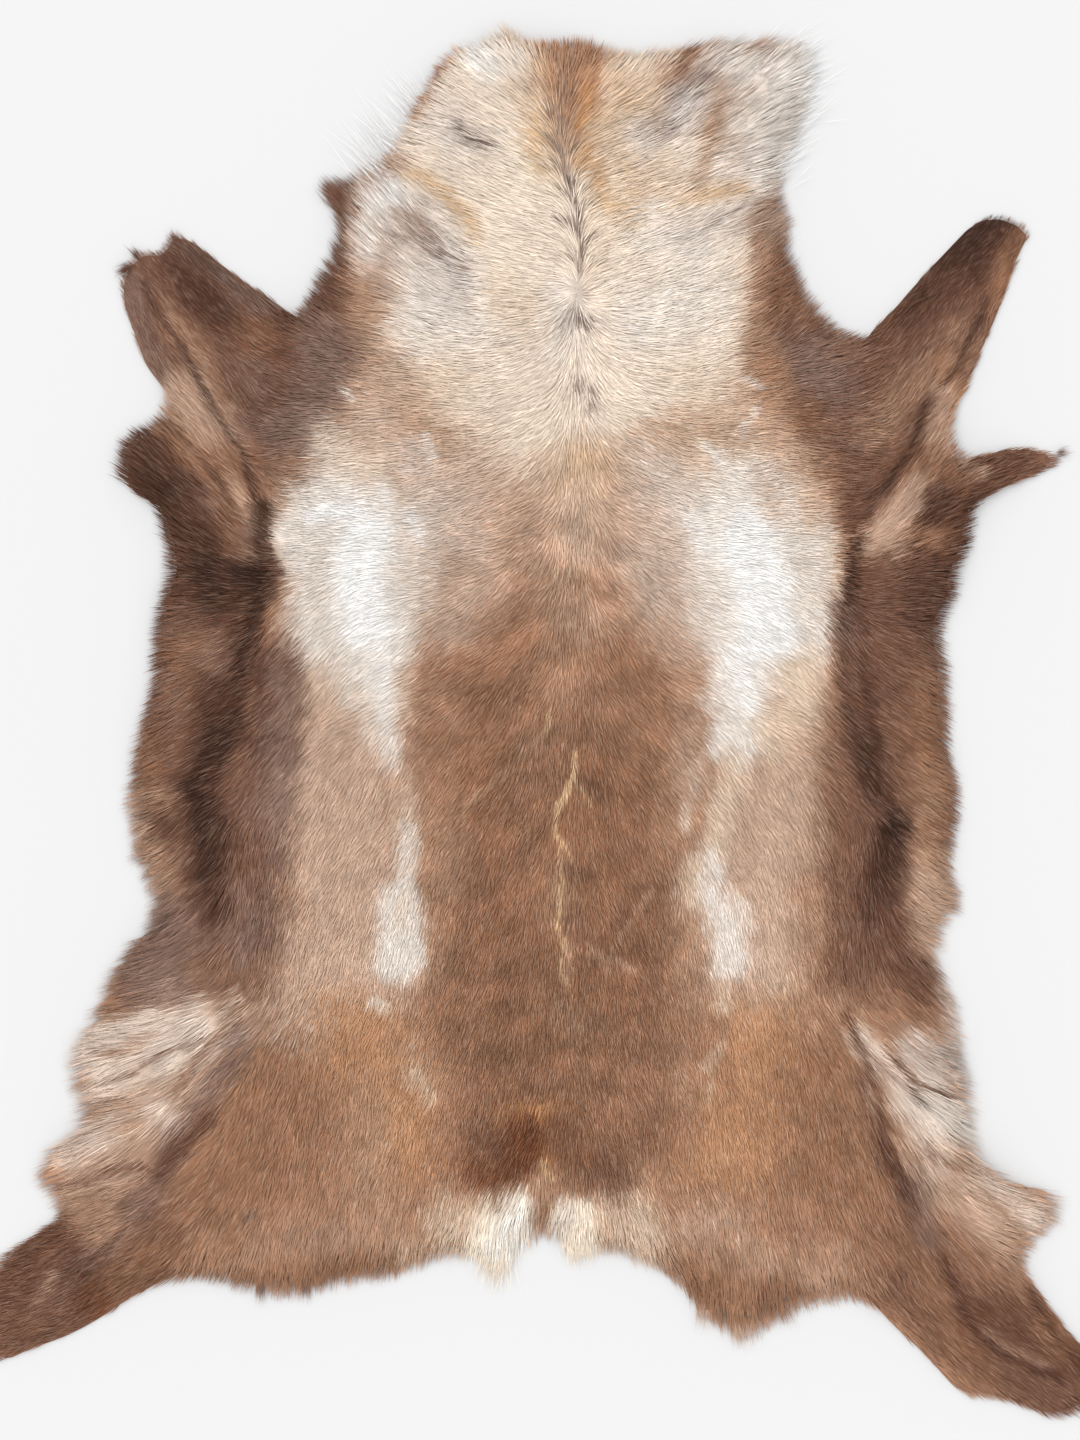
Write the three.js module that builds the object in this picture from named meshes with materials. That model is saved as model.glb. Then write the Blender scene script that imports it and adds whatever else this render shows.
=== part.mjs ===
// A tanned reindeer hide with the hair on, laid out flat with the hair side up.
//
// The hide is one piece of skin, so it is one solid: the skin with its pile of hair. The flesh side
// lies flat on the floor at z = 0, and only where the skin buckles into rolls at the armpits and the
// flanks does it lift clear. The upper side is the top of the pile, which is deep on the neck, short
// on the legs, and pressed down along the creases.
//
// Everything is laid out on a board, in millimetres: x runs from the board's left edge and y runs
// down from its top edge, where the neck lies. The solid's own frame has +X to the right, +Y towards
// the neck and +Z up, with its origin under the middle of the hide.

import * as THREE from "three";

const BOARD = { width: 1080, length: 1440 };
const SKIN_THICKNESS = 2; // the tanned leather alone
const EDGE_THICKNESS = 4; // skin and the thin hair at the cut edge
const EDGE_ROLL = 26; // how far in from the edge the pile reaches its full depth
const OUTLINE_STEP = 21; // between points along the edge
const OPEN_STEP = 36; // between points on the flat of the hide
const FOLD_STEP = 18; // between points on folds and creases
const EDGE_CLEARANCE = 0.6; // share of a step that inner points keep from the edge

// The cut edge, clockwise from the nape, as it runs round each part of the animal.
const OUTLINE = {
  neckRight: [
    [512, 18], [532, 29], [582, 29], [606, 39], [645, 42], [700, 36], [750, 34], [788, 45], [807, 72],
    [806, 108], [794, 144], [782, 178],
  ],
  shoulderRight: [[791, 222], [799, 264], [815, 294], [838, 314], [861, 332]],
  forelegRight: [
    [886, 314], [910, 287], [948, 246], [972, 222], [994, 211], [1022, 217], [1035, 229], [1021, 256],
    [1011, 286], [998, 320], [970, 384], [957, 424],
  ],
  elbowRight: [
    [963, 449], [1002, 447], [1040, 446], [1067, 456], [1050, 471], [1002, 492], [981, 514], [979, 545],
    [967, 578], [966, 601], [951, 623],
  ],
  flankRight: [
    [955, 668], [957, 740], [966, 806], [961, 850], [958, 912], [942, 930], [948, 970], [960, 1014],
    [965, 1066], [970, 1108], [982, 1144],
  ],
  thighRight: [[1004, 1174], [1046, 1191], [1052, 1222], [1029, 1249]],
  hindLegRight: [
    [1040, 1284], [1063, 1322], [1090, 1352], [1108, 1384], [1097, 1411], [1062, 1422], [1012, 1407],
    [961, 1396], [932, 1366], [900, 1335], [872, 1314], [838, 1306], [798, 1312],
  ],
  rumpRight: [[770, 1327], [742, 1337], [712, 1327], [690, 1303], [664, 1280], [634, 1268], [606, 1259]],
  tail: [[580, 1264], [557, 1250], [543, 1224], [532, 1247], [514, 1268], [496, 1276], [476, 1266]],
  rumpLeft: [[438, 1268], [396, 1281], [350, 1286], [304, 1297], [262, 1298], [220, 1290], [170, 1288]],
  hindLegLeft: [
    [130, 1302], [98, 1323], [66, 1340], [30, 1353], [-6, 1367], [-27, 1345], [-23, 1302], [-6, 1264],
    [26, 1236], [57, 1209],
  ],
  thighLeft: [[50, 1186], [42, 1161], [66, 1128], [95, 1102], [82, 1076], [80, 1046], [94, 1019]],
  flankLeft: [
    [104, 984], [124, 948], [149, 912], [150, 884], [134, 862], [124, 820], [124, 776], [131, 728],
    [143, 680], [147, 610], [158, 560], [153, 525], [146, 501],
  ],
  elbowLeft: [[126, 492], [113, 467], [114, 440], [130, 424], [156, 414]],
  forelegLeft: [
    [160, 392], [146, 372], [132, 336], [120, 300], [118, 272], [132, 250], [157, 247], [172, 228],
    [200, 244], [240, 275], [272, 296], [296, 305],
  ],
  shoulderLeft: [[306, 284], [327, 256], [332, 222], [324, 176], [346, 176]],
  neckLeft: [[372, 164], [392, 134], [410, 96], [438, 54], [472, 32]],
};

// Where the skin buckles into a roll and lifts off the floor.
const ROLLS = [
  { name: "left foreleg roll", lift: 11, halfWidth: 17, route: [[176, 300], [212, 372], [244, 446], [262, 500]] },
  { name: "left armpit roll", lift: 13, halfWidth: 14, route: [[184, 398], [214, 448], [246, 496], [272, 548]] },
  { name: "left elbow roll", lift: 10, halfWidth: 20, route: [[138, 462], [176, 482], [214, 528], [240, 560]] },
  { name: "left belly roll", lift: 7, halfWidth: 24, route: [[196, 600], [192, 680], [180, 748]] },
  { name: "left flank roll", lift: 9, halfWidth: 16, route: [[112, 1062], [158, 1042], [214, 1006]] },
  { name: "left thigh roll", lift: 7, halfWidth: 16, route: [[66, 1156], [120, 1142], [170, 1104]] },
  { name: "right foreleg roll", lift: 11, halfWidth: 16, route: [[962, 322], [932, 396], [898, 452], [868, 506]] },
  { name: "right armpit roll", lift: 13, halfWidth: 15, route: [[948, 432], [930, 470], [902, 516], [874, 560]] },
  { name: "right elbow roll", lift: 8, halfWidth: 18, route: [[1012, 466], [972, 486], [950, 530], [934, 576]] },
  { name: "right flank roll", lift: 12, halfWidth: 15, route: [[908, 1036], [936, 1064], [962, 1076]] },
  { name: "right thigh roll", lift: 10, halfWidth: 17, route: [[874, 1046], [912, 1104], [960, 1150], [1010, 1200]] },
  { name: "right shank roll", lift: 8, halfWidth: 18, route: [[966, 1222], [1006, 1282], [1058, 1350]] },
];

// Where the pile is pressed or parted. Share is how much of its depth is lost at the bottom.
const CREASES = [
  { name: "mane parting", share: 0.4, halfWidth: 11, route: [[562, 60], [562, 120], [575, 190], [581, 260], [574, 336]] },
  { name: "neck fold", share: 0.45, halfWidth: 12, route: [[376, 190], [426, 214], [456, 250], [472, 296]] },
  { name: "left armpit crease", share: 0.8, halfWidth: 9, route: [[154, 262], [184, 330], [214, 414], [252, 484], [264, 560]] },
  { name: "left elbow crease", share: 0.7, halfWidth: 9, route: [[164, 426], [200, 462], [236, 516], [254, 566]] },
  { name: "left belly crease", share: 0.7, halfWidth: 15, route: [[262, 540], [252, 610], [232, 700], [208, 768], [214, 840], [222, 900]] },
  { name: "left flank crease", share: 0.6, halfWidth: 8, route: [[92, 1082], [150, 1072], [196, 1030]] },
  { name: "left thigh crease", share: 0.65, halfWidth: 8, route: [[60, 1186], [110, 1172], [156, 1174]] },
  { name: "left ham crease", share: 0.5, halfWidth: 14, route: [[240, 1010], [214, 1076], [172, 1148], [116, 1220], [60, 1300]] },
  { name: "right armpit crease", share: 0.8, halfWidth: 9, route: [[996, 262], [972, 350], [930, 432], [882, 506], [858, 560]] },
  { name: "right belly crease", share: 0.7, halfWidth: 15, route: [[856, 560], [866, 640], [886, 720], [902, 800], [884, 884]] },
  { name: "right flank crease", share: 0.7, halfWidth: 9, route: [[896, 1050], [924, 1084], [966, 1104]] },
  { name: "right ham crease", share: 0.6, halfWidth: 14, route: [[850, 1030], [884, 1110], [906, 1190], [960, 1270], [1030, 1350]] },
];

// How deep the pile lies at places on the hide. Between them it changes smoothly.
const PILE = [
  { place: "nape", x: 590, y: 90, reach: 90, depth: 27 },
  { place: "left side of the neck", x: 440, y: 130, reach: 90, depth: 32 },
  { place: "right side of the neck", x: 750, y: 110, reach: 90, depth: 34 },
  { place: "withers", x: 560, y: 330, reach: 130, depth: 24 },
  { place: "left shoulder", x: 380, y: 330, reach: 90, depth: 26 },
  { place: "right shoulder", x: 780, y: 330, reach: 90, depth: 24 },
  { place: "back", x: 560, y: 700, reach: 190, depth: 17 },
  { place: "left ribs", x: 330, y: 640, reach: 130, depth: 20 },
  { place: "right ribs", x: 790, y: 640, reach: 130, depth: 20 },
  { place: "loin", x: 560, y: 1060, reach: 190, depth: 16 },
  { place: "left belly", x: 170, y: 720, reach: 90, depth: 20 },
  { place: "right belly", x: 930, y: 720, reach: 90, depth: 19 },
  { place: "left flank", x: 130, y: 1040, reach: 90, depth: 24 },
  { place: "right flank", x: 950, y: 1080, reach: 90, depth: 22 },
  { place: "tail", x: 540, y: 1225, reach: 60, depth: 26 },
  { place: "left ham", x: 260, y: 1220, reach: 110, depth: 17 },
  { place: "right ham", x: 780, y: 1230, reach: 110, depth: 18 },
  { place: "left foreleg", x: 170, y: 300, reach: 70, depth: 9 },
  { place: "right foreleg", x: 970, y: 280, reach: 70, depth: 8 },
  { place: "left shank", x: 20, y: 1310, reach: 70, depth: 11 },
  { place: "right shank", x: 1050, y: 1370, reach: 70, depth: 11 },
];

function smoothRise(share) {
  const t = THREE.MathUtils.clamp(share, 0, 1);
  return t * t * (3 - 2 * t);
}

function distanceToLine(x, y, line) {
  let nearest = Infinity;
  for (let i = 0; i + 1 < line.length; i++) {
    const [ax, ay] = line[i];
    const [dx, dy] = [line[i + 1][0] - ax, line[i + 1][1] - ay];
    const along = THREE.MathUtils.clamp(((x - ax) * dx + (y - ay) * dy) / (dx * dx + dy * dy), 0, 1);
    nearest = Math.min(nearest, Math.hypot(x - ax - along * dx, y - ay - along * dy));
  }
  return nearest;
}

// The points of a smooth curve through the given ones, about a step apart.
function smoothLine(points, step, closed) {
  const curve = new THREE.CatmullRomCurve3(
    points.map(([x, y]) => new THREE.Vector3(x, y, 0)), closed, "centripetal",
  );
  const pieces = Math.max(4, Math.round(curve.getLength() / step));
  const spaced = curve.getSpacedPoints(pieces).map((p) => [p.x, p.y]);
  return closed ? spaced.slice(0, -1) : spaced;
}

const edge = smoothLine(Object.values(OUTLINE).flat(), OUTLINE_STEP, true);
const closedEdge = [...edge, edge[0]];
const rolls = ROLLS.map((roll) => ({ ...roll, line: smoothLine(roll.route, FOLD_STEP, false) }));
const creases = CREASES.map((crease) => ({ ...crease, line: smoothLine(crease.route, FOLD_STEP, false) }));

function isOnHide(x, y) {
  let inside = false;
  for (let i = 0, j = edge.length - 1; i < edge.length; j = i++) {
    const [ax, ay] = edge[i];
    const [bx, by] = edge[j];
    if (ay > y !== by > y && x < ((bx - ax) * (y - ay)) / (by - ay) + ax) inside = !inside;
  }
  return inside;
}

// How much a fold counts here: 1 on its line, fading smoothly to 0 about two half widths away.
function foldShare(x, y, fold) {
  return Math.exp(-((distanceToLine(x, y, fold.line) / fold.halfWidth) ** 2));
}

function liftAt(x, y) {
  const lift = Math.max(...rolls.map((roll) => roll.lift * foldShare(x, y, roll)));
  return lift < 0.5 ? 0 : lift;
}

function pileAt(x, y) {
  let weights = 0;
  let depth = 0;
  for (const place of PILE) {
    const weight = Math.exp(-(((x - place.x) ** 2 + (y - place.y) ** 2) / place.reach ** 2) / 2) + 1e-9;
    weights += weight;
    depth += weight * place.depth;
  }
  const pressed = Math.max(...creases.map((crease) => crease.share * foldShare(x, y, crease)));
  return (depth / weights) * (1 - pressed);
}

function thicknessAt(x, y) {
  const rise = smoothRise(distanceToLine(x, y, closedEdge) / EDGE_ROLL);
  return Math.max(EDGE_THICKNESS, SKIN_THICKNESS + pileAt(x, y) * rise);
}

// Points inside the edge on a triangular grid: close together on folds, further apart elsewhere.
function innerPoints() {
  const found = [];
  const folds = [...rolls, ...creases];
  const bounds = new THREE.Box2().setFromPoints(edge.map(([x, y]) => new THREE.Vector2(x, y)));
  const rowHeight = FOLD_STEP * Math.sqrt(0.75);
  const coarse = Math.round(OPEN_STEP / FOLD_STEP);
  let row = 0;
  for (let y = bounds.min.y; y < bounds.max.y; y += rowHeight, row++) {
    let column = 0;
    for (let x = bounds.min.x + (row % 2) * (FOLD_STEP / 2); x < bounds.max.x; x += FOLD_STEP, column++) {
      if (!isOnHide(x, y)) continue;
      const toEdge = distanceToLine(x, y, closedEdge);
      const nearFold = folds.some((fold) => distanceToLine(x, y, fold.line) < 1.6 * fold.halfWidth);
      const kept = nearFold || (row % coarse === 0 && (column + (row / coarse) % 2) % coarse === 0);
      if (kept && toEdge > EDGE_CLEARANCE * OUTLINE_STEP) found.push([x, y]);
    }
  }
  return found;
}

// Delaunay triangles over the points, by adding one point at a time.
function triangulate(points) {
  const reach = 1e5;
  const all = [...points, [-reach, -reach], [reach, -reach], [0, reach]];
  const circle = (a, b, c) => {
    const [[ax, ay], [bx, by], [cx, cy]] = [all[a], all[b], all[c]];
    const d = 2 * (ax * (by - cy) + bx * (cy - ay) + cx * (ay - by));
    const [aa, bb, cc] = [ax * ax + ay * ay, bx * bx + by * by, cx * cx + cy * cy];
    const x = (aa * (by - cy) + bb * (cy - ay) + cc * (ay - by)) / d;
    const y = (aa * (cx - bx) + bb * (ax - cx) + cc * (bx - ax)) / d;
    return { corners: [a, b, c], x, y, radius2: (ax - x) ** 2 + (ay - y) ** 2 };
  };
  let triangles = [circle(points.length, points.length + 1, points.length + 2)];
  points.forEach(([x, y], index) => {
    const hit = triangles.filter((t) => (x - t.x) ** 2 + (y - t.y) ** 2 < t.radius2);
    const rim = new Map();
    for (const { corners: [a, b, c] } of hit) {
      for (const [from, to] of [[a, b], [b, c], [c, a]]) {
        if (!rim.delete(`${to},${from}`)) rim.set(`${from},${to}`, [from, to]);
      }
    }
    const gone = new Set(hit);
    triangles = triangles.filter((t) => !gone.has(t));
    for (const [from, to] of rim.values()) triangles.push(circle(from, to, index));
  });
  return triangles.map((t) => t.corners).filter((corners) => Math.max(...corners) < points.length);
}

// The closed solid between the flesh side and the top of the pile.
function hideGeometry() {
  // A shift too small to measure keeps grid points off the same circle, where triangles are undecided.
  const inner = innerPoints().map(([x, y], i) => [x + 0.3 * Math.sin(12.9 * i), y + 0.3 * Math.sin(78.2 * i)]);
  const points = [...edge, ...inner];
  const triangles = triangulate(points).filter(([a, b, c]) =>
    isOnHide((points[a][0] + points[b][0] + points[c][0]) / 3, (points[a][1] + points[b][1] + points[c][1]) / 3));

  const positions = [];
  const place = (x, y, z) => positions.push(x - BOARD.width / 2, BOARD.length / 2 - y, z);
  for (const [x, y] of points) place(x, y, liftAt(x, y));
  for (const [x, y] of points) place(x, y, liftAt(x, y) + thicknessAt(x, y));

  const upper = points.length;
  const faces = [];
  const rim = new Map();
  for (const [a, b, c] of triangles) {
    // The board's y runs down, so a triangle turns the other way round in the solid's frame.
    const [[ax, ay], [bx, by], [cx, cy]] = [points[a], points[b], points[c]];
    const turnsLeft = (bx - ax) * (cy - ay) - (by - ay) * (cx - ax) < 0;
    const [p, q, r] = turnsLeft ? [a, b, c] : [a, c, b];
    faces.push(p + upper, q + upper, r + upper, p, r, q);
    for (const [from, to] of [[p, q], [q, r], [r, p]]) {
      if (!rim.delete(`${to},${from}`)) rim.set(`${from},${to}`, [from, to]);
    }
  }
  for (const [from, to] of rim.values()) {
    faces.push(from, to, to + upper, from, to + upper, from + upper);
  }

  const geometry = new THREE.BufferGeometry();
  geometry.setAttribute("position", new THREE.Float32BufferAttribute(positions, 3));
  geometry.setIndex(faces);
  geometry.computeBoundingBox();
  const middle = geometry.boundingBox.getCenter(new THREE.Vector3());
  geometry.translate(-middle.x, -middle.y, 0);
  geometry.computeVertexNormals();
  return geometry;
}

const coat = new THREE.MeshStandardMaterial({ color: 0x9a7a60, roughness: 0.9, metalness: 0 });

const hide = new THREE.Mesh(hideGeometry(), coat);
hide.name = "hide";

const reindeerHide = new THREE.Group();
reindeerHide.add(hide);

export default reindeerHide;
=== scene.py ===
import bpy
import numpy as np
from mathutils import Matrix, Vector, geometry
from mathutils.bvhtree import BVHTree


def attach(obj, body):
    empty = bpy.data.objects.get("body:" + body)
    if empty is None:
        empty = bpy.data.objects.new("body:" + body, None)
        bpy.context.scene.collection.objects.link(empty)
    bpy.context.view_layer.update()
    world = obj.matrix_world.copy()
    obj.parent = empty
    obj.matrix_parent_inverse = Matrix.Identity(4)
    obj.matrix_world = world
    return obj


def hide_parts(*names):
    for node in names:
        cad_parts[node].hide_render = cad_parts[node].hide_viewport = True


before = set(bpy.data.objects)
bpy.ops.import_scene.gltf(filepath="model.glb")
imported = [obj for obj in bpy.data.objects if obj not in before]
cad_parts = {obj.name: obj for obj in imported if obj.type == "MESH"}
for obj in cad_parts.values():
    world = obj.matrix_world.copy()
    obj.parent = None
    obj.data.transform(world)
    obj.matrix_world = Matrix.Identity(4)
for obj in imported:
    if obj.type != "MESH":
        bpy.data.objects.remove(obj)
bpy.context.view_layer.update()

# the hide is laid out on a board, in millimetres: x from its left edge, y down from its top edge
board = {"middleX": 539.1, "middleY": 719.6, "perMetre": 1000.0}


def toFrame(x, y):
    return (x - board["middleX"]) / board["perMetre"], (board["middleY"] - y) / board["perMetre"]


def toBoard(x, y):
    return x * board["perMetre"] + board["middleX"], board["middleY"] - y * board["perMetre"]


def easeInOut(t):
    t = np.clip(t, 0.0, 1.0)
    return t * t * (3.0 - 2.0 * t)


noise = {"cells": 128, "shift": 61.0, "fineSize": 0.47, "coarseShare": 0.65, "fineShare": 0.35}


def softNoise(x, y, size, seed):  # smooth random values from -1 to 1, with lumps of about that size
    lattice = np.random.default_rng(seed).uniform(-1.0, 1.0, (noise["cells"], noise["cells"]))
    gx, gy = x / size + noise["shift"], y / size + noise["shift"]
    ix, iy = np.floor(gx).astype(int), np.floor(gy).astype(int)
    fx, fy = easeInOut(gx - ix), easeInOut(gy - iy)
    ix, iy = ix % (noise["cells"] - 1), iy % (noise["cells"] - 1)
    upper = lattice[iy, ix] * (1 - fx) + lattice[iy, ix + 1] * fx
    lower = lattice[iy + 1, ix] * (1 - fx) + lattice[iy + 1, ix + 1] * fx
    return upper * (1 - fy) + lower * fy


def roundNoise(x, y, size, seed):  # lumps of two sizes together, each turned so that no grid shows
    first = softNoise(0.83 * x + 0.56 * y, 0.83 * y - 0.56 * x, size, seed)
    second = softNoise(0.38 * x - 0.92 * y, 0.38 * y + 0.92 * x, size * noise["fineSize"], seed + 1)
    return noise["coarseShare"] * first + noise["fineShare"] * second


def waved(value, x, y, waves):  # a value with noise added, each wave as its height, size and seed
    for height, size, seed in waves:
        value = value + height * roundNoise(x, y, size, seed)
    return value


def lineDistance(x, y, route):  # from each point to the nearest place on a route
    nearest = np.full(np.shape(x), 1e9)
    for (ax, ay), (bx, by) in zip(route[:-1], route[1:]):
        dx, dy = bx - ax, by - ay
        along = np.clip(((x - ax) * dx + (y - ay) * dy) / (dx * dx + dy * dy + 1e-9), 0.0, 1.0)
        nearest = np.minimum(nearest, np.hypot(x - ax - along * dx, y - ay - along * dy))
    return nearest


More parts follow.
